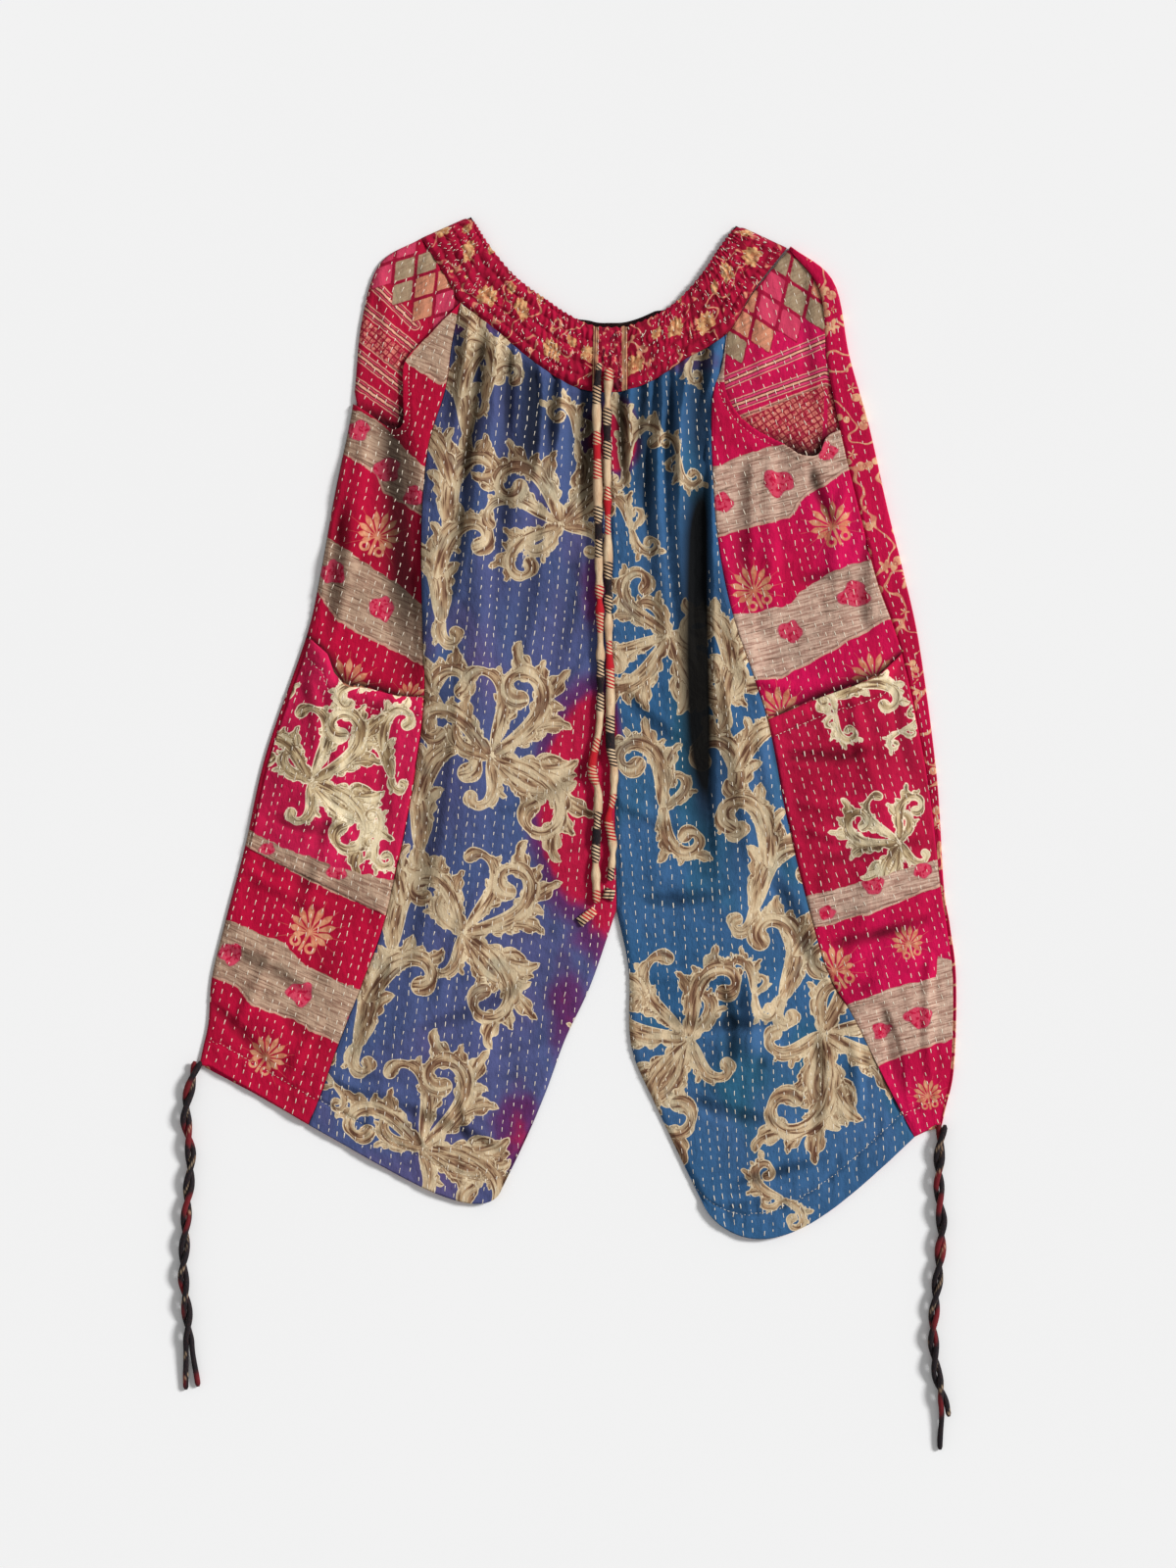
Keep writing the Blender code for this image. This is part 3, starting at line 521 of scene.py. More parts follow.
BLOTS = {
    "left": [
        (-177, 243, 11), (-153, 211, 12), (-131, 190, 10), (-197, 128, 12), (-157, 98, 12),
        (-281, -184, 11), (-224, -216, 12), (-193, -117, 9), (-250, -98, 7), (-178, -238, 9),
    ],
    "right": [
        (120, 184, 10), (165, 200, 14), (206, 226, 9), (176, 79, 11), (228, 109, 14),
        (280, -235, 12), (250, -246, 9), (243, -128, 9), (206, -150, 7), (284, -116, 8),
    ],
}

# The printed hip panels: a field of diamonds, striped bands and a net. The field starts at a
# place and goes up from it, in rows at a turn.
Diamonds = namedtuple("Diamonds", "x y turn half_width half_height rows")
DIAMONDS = {
    "left": Diamonds(-124, 342, -39, 10.6, 16.0, 3),
    "right": Diamonds(153, 320, 22, 12.0, 17.4, 4),
}
Stripe = namedtuple("Stripe", "x0 y0 x1 y1 half_width")
STRIPES = by_name(Stripe, {
    "left": [
        (-196, 393, -130, 329, 4.6), (-196, 363, -130, 309, 4.6),
        (-196, 320, -132, 270, 4.6), (-196, 294, -132, 250, 4.6),
        (-196, 334, -132, 282, 1.8),
    ],
    "right": [
        (104, 274, 204, 316, 5.4), (204, 316, 262, 296, 5.4),
        (104, 254, 204, 290, 5.0), (204, 290, 262, 268, 5.0),
        (104, 242, 204, 280, 1.8), (204, 280, 262, 252, 1.8),
    ],
})
LATTICES = {
    "left": [[(-190, 350), (-134, 304), (-134, 285), (-190, 327)]],
    "right": [
        [(124, 247), (204, 280), (200, 214), (160, 214)],
        [(206, 280), (262, 250), (250, 200), (206, 220)],
    ],
}
NET_TURN = {"left": -40, "right": 34}

# Prints of the blue fronts and of the cargo pockets: motif, place, size, turn and mirror.
Print = namedtuple("Print", "motif x y size turn mirror")
PRINTS = by_name(Print, {
    "front_left": [
        ("PLUME", -84, 330, 66, 30, 1),
        ("PLUME", -92, 284, 80, 6, -1),
        ("PLUME", -102, 214, 90, 0, 1),
        ("PLUME", -112, 138, 88, 4, -1),
        ("PLUME", -66, 296, 54, -14, 1),
        ("CREST", 2, 236, 54, 10, 1),
        ("SPRAY", -12, 166, 90, 84, 1),
        ("PLUME", -122, 40, 84, 6, 1),
        ("PLUME", -126, -44, 94, 0, -1),
        ("SPRAY", -68, -22, 104, 10, 1),
        ("PLUME", -142, -126, 94, -8, 1),
        ("SPRAY", -90, -166, 98, -10, 1),
        ("PLUME", -164, -208, 92, -14, -1),
        ("CREST", -196, -290, 46, 40, -1),
        ("SPRAY", -124, -340, 104, 18, 1),
        ("CREST", 4, -258, 44, 200, -1),
    ],
    "front_right": [
        ("PLUME", 44, 244, 60, -6, 1),
        ("CREST", 84, 222, 44, 190, 1),
        ("CREST", 96, 302, 44, -20, 1),
        ("CREST", 46, 162, 56, 20, 1),
        ("SPRAY", 76, 76, 96, 84, -1),
        ("PLUME", 128, 62, 84, -8, 1),
        ("PLUME", 136, -20, 86, -10, -1),
        ("CREST", 72, -64, 96, 6, 1),
        ("PLUME", 160, -96, 94, -16, 1),
        ("PLUME", 186, -170, 92, -18, -1),
        ("CREST", 146, -216, 52, 10, 1),
        ("SPRAY", 92, -252, 106, 20, -1),
        ("SPRAY", 204, -248, 114, -54, 1),
        ("CREST", 46, -212, 36, 60, -1),
        ("CREST", 170, -384, 56, 60, -1),
    ],
    "cargo_pocket_left": [
        ("PLUME", -158, -8, 58, 16, -1),
        ("SPRAY", -214, -42, 88, 4, 1),
        ("PLUME", -176, 38, 46, 82, 1),
        ("CREST", -160, -86, 44, 170, 1),
        ("CREST", -246, 14, 40, -10, -1),
    ],
    "cargo_pocket_right": [
        ("PLUME", 238, 38, 56, -66, -1),
        ("CREST", 212, 12, 40, 190, 1),
        ("CREST", 266, -2, 36, -60, 1),
        ("SPRAY", 264, -92, 64, 30, -1),
    ],
})

# Red zones of the dye on the blue fronts: an ellipse and its strength.
Dye = namedtuple("Dye", "x y across along strength")
DYES = by_name(Dye, {
    "front_left": [
        (22, -62, 84, 142, 2.0),
        (20, 110, 30, 60, 0.6),
        (22, 230, 30, 60, 0.85),
        (30, -150, 60, 80, 0.8),
        (-6, -230, 34, 80, 0.55),
        (-46, -330, 44, 70, 0.62),
        (-78, 330, 60, 22, 0.5),
    ],
    "front_right": [
        (22, -8, 22, 80, 1.4),
        (36, 236, 26, 50, 1.5),
        (92, 300, 60, 22, 0.45),
    ],
})


# ---- Curves and heights, for whole arrays of points ----

NOISE_MIXERS = (374761393, 668265263, 1274126177)
NOISE_SHIFT = 512.37
LOWEST = 0.1


def smooth_step(low, high, value):
    """0 up to a low value and 1 from a high one, with a soft rise between them."""
    t = np.clip((value - low) / (high - low), 0, 1)
    return t * t * (3 - 2 * t)


def bell(t):
    """1 at 0, falling softly to 0 at a distance of 1."""
    return 0.5 + 0.5 * np.cos(math.pi * np.clip(np.abs(t), 0, 1))


def ridges(distance, *rows):
    """The height of rounded ridges that lie along lines at distances from an edge."""
    return sum(row.height * bell((distance - row.line) / row.reach) for row in rows)


def unit(vectors):
    """Vectors brought to a length of 1."""
    return vectors / np.linalg.norm(vectors, axis=-1, keepdims=True)


def direction(angle):
    """A direction in degrees from +X, as its cosine and sine."""
    return math.cos(math.radians(angle)), math.sin(math.radians(angle))


def turned(points, angle):
    """Coordinates along and across a direction."""
    c, s = direction(angle)
    x, y = points[..., 0], points[..., 1]
    return np.stack([x * c + y * s, y * c - x * s], axis=-1)


def raised(plan, height):
    """Plan points with their heights."""
    return np.concatenate([plan, height[..., None]], axis=-1)


def along(points, place):
    """Points at places, counted in points, on a smooth curve through the points."""
    points = np.asarray(points, float)
    place = np.asarray(place, float)
    k = np.clip(place, 0, len(points) - 2).astype(int)
    t = (place - k)[..., None]
    padded = np.vstack([2 * points[0] - points[1], points, 2 * points[-1] - points[-2]])
    before, here, there, after = (padded[k + i] for i in range(4))
    return (
        here
        + 0.5 * t * (there - before)
        + t * t * (before - 2.5 * here + 2 * there - 0.5 * after)
        + t**3 * 0.5 * (after - 3 * there + 3 * here - before)
    )


def path_length(path):
    """The distance along a path to each of its points."""
    steps = np.linalg.norm(np.diff(path, axis=0), axis=1)
    return np.concatenate([[0], np.cumsum(steps)])


def at_stops(path, length, stops):
    """Points of a path at distances along it."""
    return np.stack([np.interp(stops, length, path[:, axis]) for axis in range(path.shape[1])], axis=1)


def waist_low(start, end, share):
    """Points at shares of the length of the waistband's lower edge."""
    places = np.linspace(start, end, 81)
    length = path_length(along(WAIST_LOW, places))
    return along(WAIST_LOW, np.interp(share * length[-1], length, places))


def section(leg, row):
    """The points of a leg's sections: fold, side, seam and inner."""
    row = np.asarray(row, float)
    stations = np.array(STATIONS[leg], float)
    place = along(stations, row)
    fold, wrap, seam = place[..., :2], place[..., 2:3], place[..., 3:5]
    upper = along(stations[: CROTCH_ROW + 1, 5:], np.minimum(row, CROTCH_ROW))
    lower = along(stations[CROTCH_ROW:, 5:], np.maximum(row - CROTCH_ROW, 0))
    inner = np.where((row <= CROTCH_ROW)[..., None], upper, lower)
    return fold, fold + unit(seam - fold) * np.maximum(wrap, 0), seam, inner


def bowed(first, last, across, row, edge, fade_row):
    """Points between two borders. The first rows follow a bowed edge, which fades out."""
    across = across[..., None]
    point = first + (last - first) * across
    chord = edge(np.zeros(1)) + (edge(np.ones(1)) - edge(np.zeros(1))) * across
    weight = np.maximum(0, 1 - row / fade_row)[..., None]
    return point + (edge(across[..., 0]) - chord) * weight


def front_plan(leg, across, row):
    """Points of a front panel, from its seam with the side panel to its inner edge."""
    _, _, seam, inner = section(leg, row)
    centre, start = WAIST_CENTRE, WAIST_SEAM[leg]
    point = bowed(seam, inner, across, row, lambda share: waist_low(start, centre, share), 4)
    from_inner = np.clip(1 - across, 0, 1) ** HEM_SKEW[leg]
    drop = HEM_BOW[leg] * np.sin(math.pi * from_inner) * smooth_step(HEM_ROW - 2, HEM_ROW, row)
    point[..., 1] -= drop
    return point


def hip_plan(leg, across, row):
    """Points of a side panel, from its seam with the front panel to its outer edge."""
    _, side, seam, _ = section(leg, row)
    start, end = WAIST_SEAM[leg], WAIST_END[leg]
    point = bowed(seam, side, across, row, lambda share: waist_low(start, end, share), 3)
    corner = smooth_step(0.88, 1, across) * smooth_step(HEM_ROW - 0.5, HEM_ROW, row)
    point[..., 1] -= TIE_MOUTH[leg] * corner
    return point


def foot_on(points, path, closed=False):
    """How far points are from a path, on which side, positive on its left, at what share of its
    length, and the nearest points of the path."""
    path = np.asarray(path, float)
    if closed:
        path = np.vstack([path, path[:1]])
    nearest = np.full(points.shape[:-1], np.inf)
    side = np.zeros(points.shape[:-1])
    place = np.zeros(points.shape[:-1])
    feet = np.zeros(points.shape)
    length = path_length(path)
    for i, (start, end) in enumerate(zip(path, path[1:])):
        run = end - start
        share = np.clip((points - start) @ run / max(run @ run, 1e-9), 0, 1)
        offset = points - start - share[..., None] * run
        distance = np.hypot(offset[..., 0], offset[..., 1])
        closer = distance < nearest
        nearest = np.where(closer, distance, nearest)
        turn = run[0] * offset[..., 1] - run[1] * offset[..., 0]
        side = np.where(closer, np.sign(turn), side)
        place = np.where(closer, length[i] + share * math.sqrt(run @ run), place)
        feet = np.where(closer[..., None], points - offset, feet)
    return nearest, side, place / length[-1], feet


def distance_to(points, path):
    """The distance from points to the nearest place of a path."""
    return foot_on(points, path)[0]


def inside(points, path):
    """Signed distance to a closed outline: positive within it."""
    path = np.asarray(path, float)
    crossings = np.zeros(points.shape[:-1], int)
    for (x0, y0), (x1, y1) in zip(path, np.roll(path, -1, axis=0)):
        level = (y0 > points[..., 1]) != (y1 > points[..., 1])
        at = x0 + (points[..., 1] - y0) * (x1 - x0) / (y1 - y0 if y1 != y0 else 1e-9)
        crossings += level & (points[..., 0] < at)
    return np.where(crossings % 2 == 1, 1, -1) * foot_on(points, path, closed=True)[0]


def noise(points, size, seed):
    """Smooth random values from -1 to 1, with features of a size."""
    place = np.asarray(points, float)[..., :2] / size + NOISE_SHIFT * (seed + 1)
    cell = np.floor(place).astype(np.int64)
    t = place - cell
    t = t * t * (3 - 2 * t)

    def corner(right, up):
        mixed = (cell[..., 0] + right) * NOISE_MIXERS[0] + (cell[..., 1] + up) * NOISE_MIXERS[1]
        mixed = (mixed ^ (mixed >> 13)) * NOISE_MIXERS[2]
        return ((mixed ^ (mixed >> 16)) & 0xFFFF) / 32767.5 - 1

    low = corner(0, 0) * (1 - t[..., 0]) + corner(1, 0) * t[..., 0]
    high = corner(0, 1) * (1 - t[..., 0]) + corner(1, 1) * t[..., 0]
    return low * (1 - t[..., 1]) + high * t[..., 1]


FOLDED_EDGES = [
    [WAIST_TOP[0], WAIST_LOW[0]],
    [WAIST_TOP[-1], WAIST_LOW[-1]],
    section("left", np.linspace(0, HEM_ROW, 60))[0],
    *[section(leg, np.linspace(CROTCH_ROW, HEM_ROW, 24))[3] for leg in STATIONS],
]


def roll(points, leg="left"):
    """1 in the open cloth, falling to 0 at a folded edge. The right side panel has none."""
    if leg == "right":
        return np.ones(points.shape[:-1])
    nearest = np.min([distance_to(points, edge) for edge in FOLDED_EDGES], axis=0)
    return np.sin(0.5 * math.pi * np.clip(nearest / FOLD_ROLL, 0, 1))


def skin(points):
    """Height of the underside of the front cloth, before its edges turn down."""
    height = SKIN_BASE + HIP_LIFT * smooth_step(HIP_LIFT_NONE_Y, HIP_LIFT_FULL_Y, points[..., 1])
    for fold in FOLDS:
        line = [(fold.x0, fold.y0), (fold.x1, fold.y1)]
        height += fold.height * bell(distance_to(points, line) / fold.half_width)
    return height


def gathers(leg, across, row):
    """Height of the gathers below the waistband, which fade out down the panel."""
    rise = 0.35 + 0.65 * smooth_step(0, 0.8, row)
    total = np.zeros(across.shape)
    for gather in GATHERS[leg]:
        fade = np.maximum(0, 1 - row / gather.reach)
        total += gather.height * bell((across - gather.across) / gather.half_width) * fade * rise
    return total


def crease_shares(points, crease):
    """Where a crease reaches, and its share of its full height there."""
    start, bend, end = np.array(crease[:6], float).reshape(3, 2)
    t = np.linspace(0, 1, 9)[:, None]
    path = start * (1 - t) ** 2 + 2 * bend * t * (1 - t) + end * t * t
    widest = max(crease.left, crease.right)
    near = np.all((points > path.min(0) - widest) & (points < path.max(0) + widest), axis=-1)
    distance, side, place, _ = foot_on(points[near], path)
    width = np.where(side > 0, crease.left, crease.right) * (0.7 + 0.45 * bell((place - 0.45) / 0.6))
    taper = smooth_step(-0.08, 0.16, place) * smooth_step(0, 0.45, 1 - place)
    return near, bell(distance / width) * taper


def creased(points, creases):
    """Height of soft ridges and troughs along short curves. They are steeper on one side."""
    total = np.zeros(points.shape[:-1])
    for crease in creases:
        near, share = crease_shares(points, crease)
        total[near] += crease.height * share
    return total


def shaded(points, creases, top):
    """Painted shade: how dark the cloth is made in its hollows, troughs and deep pleats."""
    deep = hollows(top)
    for crease in creases:
        if crease.height < 0:
            near, share = crease_shares(points, crease)
            deepest = DARK_TROUGH - crease.height / 20
            dark = np.minimum(deepest, -crease.height / TROUGH_DEPTH * share**0.9)
            deep[near] = np.maximum(deep[near], dark)
    return deep


def ripples(points, seed):
    """The small unevenness of washed, hand-quilted cloth."""
    quilted = turned(points, QUILT_TURN) * (QUILT_STRETCH, 1.0)
    return (
        0.95 * noise(quilted, 17, seed)
        + 0.44 * noise(points, 8, seed + 1)
        + 0.2 * noise(points, 4.2, seed + 2)
    )


def softened(field, steps):
    """A grid's values, averaged over their neighbours three times along each axis."""
    for axis in (0, 1) * 3:
        pad = [(0, 0), (0, 0)]
        pad[axis] = (steps, steps)
        padded = np.pad(field, pad, "edge")
        field = sliding_window_view(padded, 2 * steps + 1, axis=axis).mean(axis=-1)
    return field


def hollows(top, steps=6):
    """How deep each point of a grid lies below the cloth round it, as a share, which serves as painted
    shade.
    """
    depth = softened(top, steps) - top
    return np.clip((depth - HOLLOW_START) / HOLLOW_DEPTH, 0, DARK_HOLLOW)


# ---- Meshes ----


def new_piece(name, points, faces, fields=None, sewn_to=None):
    """A piece that stands for the node of its name, or one that is sewn to such a piece."""
    shown_name = name if sewn_to else f"{name}_cloth"
    mesh = bpy.data.meshes.new(shown_name)
    mesh.from_pydata((np.asarray(points) * MM).tolist(), [], faces)
    mesh.polygons.foreach_set("use_smooth", np.ones(len(mesh.polygons), bool))
    for key, values in (fields or {}).items():
        kept = mesh.attributes.new(key, "FLOAT", "POINT")
        kept.data.foreach_set("value", np.asarray(values, np.float32))
    piece = bpy.data.objects.new(shown_name, mesh)
    bpy.context.scene.collection.objects.link(piece)
    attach(piece, "root")
    if not sewn_to:
        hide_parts(name)
    return piece


def grid_quads(index):
    """The four-sided faces between the points of a grid."""
    corners = [index[:-1, :-1], index[:-1, 1:], index[1:, 1:], index[1:, :-1]]
    return np.stack(corners, axis=-1).reshape(-1, 4)


def shell(name, plan, top, fields, low=None, coarse=4):
    """A closed sheet of cloth: a fine upper side and a plainer underside."""
    index = np.arange(top.size).reshape(top.shape)
    some = np.ix_(*[sorted({*range(0, n - 1, coarse), n - 1}) for n in top.shape])
    under = np.maximum((top - CLOTH if low is None else low)[some], LOWEST)
    lower = np.arange(under.size).reshape(under.shape) + top.size
    (x0, y0), (x1, y1) = plan[0, 1] - plan[0, 0], plan[1, 0] - plan[0, 0]
    flip = x0 * y1 - y0 * x1 < 0
    faces = []
    for layer, downward in ((index, flip), (lower, not flip)):
        quads = grid_quads(layer)
        faces += (quads[:, [0, 3, 2, 1]] if downward else quads).tolist()
    below = dict(zip(index[some].ravel().tolist(), lower.ravel().tolist()))
    rim = np.concatenate([index[0], index[1:, -1], index[-1, -2::-1], index[-2:0:-1, 0]]).tolist()
    reached = below[rim[0]]
    for here, there in zip(rim, rim[1:] + rim[:1]):
        made = [(here, reached, there)]
        if there in below:
            made.append((there, reached, below[there]))
            reached = below[there]
        faces += [face[::-1] if flip else face for face in made]
    points = np.vstack([raised(plan, top).reshape(-1, 3), raised(plan[some], under).reshape(-1, 3)])
    fields = {key: np.append(value.ravel(), value[some].ravel()) for key, value in fields.items()}
    return new_piece(name, points, faces, fields)


def close_layers(name, quads, upper, lower, fields):
    """A closed sheet of two layers with the same quads, and a rim round their open edges."""
    count = len(upper)
    edges = np.concatenate([quads[:, [k, (k + 1) % 4]] for k in range(4)])
    seen = {(a, b) for a, b in edges.tolist()}
    rim = [(a, a + count, b + count, b) for a, b in seen if (b, a) not in seen]
    faces = quads.tolist() + (quads[:, ::-1] + count).tolist() + rim
    fields = {key: np.tile(value.ravel(), 2) for key, value in fields.items()}
    return new_piece(name, np.concatenate([upper, lower]), faces, fields)


def cut_shell(name, plan, height, gone, fields):
    """A closed sheet on a grid, cut along an outline. height is a function of plan points."""
    points = plan.reshape(-1, 2).copy()
    depth = inside(points, gone)
    snapped = (depth > 0) & (depth < 1.3 * np.linalg.norm(plan[1, 0] - plan[0, 0]))
    points[snapped] = foot_on(points[snapped], gone, closed=True)[3]
    kept = (depth <= 0) | snapped
    quads = grid_quads(np.arange(len(points)).reshape(plan.shape[:2]))
    quads = quads[kept[quads].all(axis=1) & ~snapped[quads].all(axis=1)]
    first, second = (points[quads[:, k]] - points[quads[:, 0]] for k in (1, 3))
    if np.median(first[:, 0] * second[:, 1] - first[:, 1] * second[:, 0]) < 0:
        quads = quads[:, ::-1]
    used, quads = np.unique(quads, return_inverse=True)
    points = points[used]
    top = height(points)
    under = np.maximum(top - CLOTH, LOWEST)
    fields = {key: value.ravel()[used] for key, value in fields.items()}
    return close_layers(name, quads.reshape(-1, 4), raised(points, top), raised(points, under), fields)


def even_rows(line, start, end, spacing):
    """Rows at an even spacing along a line, which is given as a function of the row."""
    rows = np.linspace(start, end, 300)
    length = path_length(line(rows))
    stops = np.linspace(0, length[-1], max(3, round(length[-1] / spacing)) + 1)
    return np.interp(stops, length, rows)


def eased(plan, top=SEAM_EASE, bottom=0.0):
    """Moves a grid's borders in a little, so that neighbours don't touch."""
    for border, neighbour, distance in (
        (plan[:, 0], plan[:, 1], SEAM_EASE),
        (plan[:, -1], plan[:, -2], SEAM_EASE),
        (plan[0], plan[1], top),
        (plan[-1], plan[-2], bottom),
    ):
        border += unit(neighbour - border) * distance
    return plan


# ---- Printed motifs: painted fronds, as signed distances ----

# A frond is a leaf or a scroll. turn is how far it turns on its whole way, in degrees, and curl
# how far it curls up as well, most of it at its end.
Frond = namedtuple("Frond", "form x y heading length turn curl width")
UNPRINTED = -12.0
# From one tooth of a frond's edge to the next, at least, and the share of its width they cut in.
TOOTH_PITCH = 6.0
TOOTH_DEPTH = 0.42


def frond_path(frond):
    """Shares of its length, points and tangents along a frond."""
    count = max(8, int(frond.length / 1.1))
    u = np.linspace(0, 1, count)
    heading = np.radians(frond.heading + frond.turn * u + frond.curl * u**2.6)
    step = frond.length / (count - 1)
    tangent = np.stack([np.cos(heading), np.sin(heading)], axis=1)
    moves = 0.5 * (tangent[:-1] + tangent[1:]) * step
    points = np.vstack([[0, 0], np.cumsum(moves, axis=0)]) + (frond.x, frond.y)
    return u, points, tangent


def frond_width(frond, u):
    """Half widths along a frond: a leaf narrows to a point, and a scroll ends in a knob."""
    if frond.form == "leaf":
        return frond.width * (0.12 + 0.88 * np.sin(math.pi * np.clip(u, 0, 1) ** 0.72) ** 0.8)
    knob = 0.5 * bell((u - 0.97) / 0.11)
    return frond.width * (0.38 + 0.52 * np.sin(math.pi * np.clip(u, 0, 1) ** 0.62) + knob)


def paint(fields, points, fronds):
    """Paints fronds over each other: signed distance, place across and place along each."""
    motif, hatch, run = (fields[key] for key in ("motif", "hatch", "run"))
    for number, frond in enumerate(fronds):
        u, path, tangent = frond_path(frond)
        reach = frond.width + 9
        near = np.all((points > path.min(0) - reach) & (points < path.max(0) + reach), axis=-1)
        if not near.any():
            continue
        local = points[near]
        gap = local[:, None, :] - path[None]
        square = np.einsum("ijk,ijk->ij", gap, gap)
        best = square.argmin(axis=1)
        pick = np.arange(len(local))
        distance = np.sqrt(square[pick, best])
        offset, line = gap[pick, best], tangent[best]
        across = line[:, 0] * offset[:, 1] - line[:, 1] * offset[:, 0]
        place = best / (len(u) - 1) * frond.length + np.einsum("ij,ij->i", line, offset)
        pitch = max(TOOTH_PITCH, 2.2 * frond.width)
        tooth = 0.5 + 0.5 * np.cos(math.tau * (place - 0.9 * np.abs(across)) / pitch + number)
        outer = 1.0 if frond.form == "leaf" else np.clip(-np.sign(frond.curl) * across, 0, 1)
        ends = smooth_step(0, 0.12, u[best]) * (1 - smooth_step(0.8, 0.93, u[best]))
        width = frond_width(frond, u[best]) * (1 - TOOTH_DEPTH * tooth**1.6 * outer * ends)
        deep = width - distance
        over = deep > 0
        motif[near] = np.where(over, deep, np.maximum(motif[near], deep))
        hatch[near] = np.where(over, across, hatch[near])
        run[near] = np.where(over, place + 7 * number, run[near])


def placed(fronds, x, y, size, angle, mirror):
    """Fronds of a motif of unit size, set down at a place, at a size and an angle."""
    c, s = direction(angle)
    made = []
    for frond in fronds:
        fx, fy = frond.x * mirror * size, frond.y * size
        heading = frond.heading if mirror == 1 else 180 - frond.heading
        made.append(frond._replace(
            x=x + fx * c - fy * s, y=y + fx * s + fy * c, heading=heading + angle,
            length=frond.length * size, turn=frond.turn * mirror, curl=frond.curl * mirror,
            width=frond.width * size,
        ))
    return made


def acanthus(x, y, heading, length, turn, curl, width, lobes, inner):
    """A scrolled leaf: its spine, and narrow leaves that grow out along both of its sides."""
    spine = Frond("scroll", x, y, heading, length, turn, curl, width)
    u, path, tangent = frond_path(spine._replace(length=100 * length))
    path = (path - (x, y)) / 100 + (x, y)
    outward = -1 if turn + curl > 0 else 1
    made = []
    for side, count in ((-outward, inner), (outward, lobes)):
        for k in range(count):
            at = 0.1 + 0.64 * (k + 0.3) / count
            i = int(at * (len(u) - 1))
            facing = math.degrees(math.atan2(tangent[i, 1], tangent[i, 0]))
            size = (0.22 if side == outward else 0.16) * (1.15 - 0.45 * at)
            grow = length * size * (1.25 if k % 2 else 0.85)
            lean = side * (13 + 9 * (k % 2))
            bend = side * (16 + 34 * (k % 3))
            wide = 0.15 * grow + 0.42 * width
            made.append(Frond("leaf", *path[i], facing + lean, grow, side * 8, bend, wide))
    return [*made, spine]


# Each motif's scrolled leaves: place, heading, length, turn, curl, width, lobes outside and inside.
LEAVES = {
    "SPRAY": [
        (0.0, -0.02, -96, 0.55, 40, -230, 0.07, 3, 1),
        (-0.02, 0.0, 164, 0.6, -30, -250, 0.07, 3, 2),
        (0.02, -0.03, -58, 0.95, 10, 290, 0.078, 5, 3),
        (-0.02, 0.03, 116, 0.95, -20, 300, 0.08, 5, 3),
        (0.04, -0.02, -24, 1.3, -30, -290, 0.084, 6, 4),
        (0.03, 0.03, 70, 0.85, -40, 200, 0.07, 5, 3),
        (0.05, 0.01, 20, 1.25, 30, 310, 0.09, 6, 4),
    ],
    "CREST": [
        (0.02, 0.0, 18, 0.5, 30, 230, 0.065, 3, 1),
        (0.0, 0.0, -100, 0.85, 40, 290, 0.08, 4, 3),
        (0.0, 0.02, 78, 1.1, 30, 300, 0.095, 6, 4),
    ],
    "PLUME": [
        (0.0, -0.5, -70, 0.5, -30, -220, 0.08, 3, 2),
        (0.0, -0.2, 60, 0.7, 10, -210, 0.09, 5, 3),
        (0.0, -0.55, 96, 1.1, -10, -230, 0.115, 6, 5),
        (0.02, -0.15, 104, 1.0, 10, 230, 0.11, 6, 5),
    ],
}
MOTIFS = {name: [frond for row in rows for frond in acanthus(*row)] for name, rows in LEAVES.items()}


# ---- Materials ----


def dye(red, green, blue):
    """A linear colour from ordinary 0 to 255 values."""

    def linear(value):
        share = value / 255
        return share / 12.92 if value < 10 else ((share + 0.055) / 1.055) ** 2.4

    return (linear(red), linear(green), linear(blue), 1)


# How much the threads' unevenness changes the colour, and how far the painted shade of the folds darkens
# it.
SLUB = 0.16
SHADE = 0.93

# A print's light, middle, dark, ink and rim.
KHAKI = [dye(206, 184, 150), dye(176, 146, 112), dye(134, 100, 76), dye(94, 60, 44), dye(216, 196, 162)]
PALE = [dye(224, 206, 170), dye(198, 174, 134), dye(146, 118, 84), dye(100, 72, 54), dye(234, 218, 188)]
FADED = dye(142, 148, 132)
# The width and the length of its strokes of tone and of its pen lines.
TONE_STROKES = (4.6, 30.0)
PEN_STROKES = (1.6, 18.0)

# The blue of each front: two mottled dyes and the size of their spots, and a third dye with the
# share of noise that it starts from and the size of its spots.
BLUES = {
    "left": ((dye(78, 80, 124), dye(60, 84, 126), 150), dye(88, 76, 120), 0.5, (70, 130, 12)),
    "right": ((dye(44, 88, 128), dye(60, 96, 138), 120), dye(38, 88, 116), 0.52, (60, 120, 12)),
}
# The two mottled reds of each side panel, cargo pocket and hip panel, and their spots' size.
REDS = {
    "side_left": (dye(184, 2, 54), dye(162, 2, 44), 80),
    "side_right": (dye(202, 6, 80), dye(182, 2, 60), 80),
    "pocket_left": (dye(198, 26, 78), dye(180, 14, 62), 70),
    "pocket_right": (dye(190, 18, 66), dye(168, 8, 52), 70),
    "yoke_left": (dye(180, 8, 54), dye(158, 6, 44), 60),
    "yoke_right": (dye(204, 14, 84), dye(186, 10, 66), 60),
}
STRIPE_PINK = {"left": dye(196, 62, 84), "right": dye(216, 60, 108)}
BAND_TURN = {"left": -24, "right": 14}
WOVEN = {
    "left": (dye(186, 156, 132), dye(144, 108, 90)),
    "right": (dye(208, 176, 156), dye(164, 124, 108)),
}
VINE_PITCH = 14.5
NET_PITCH = 4.6


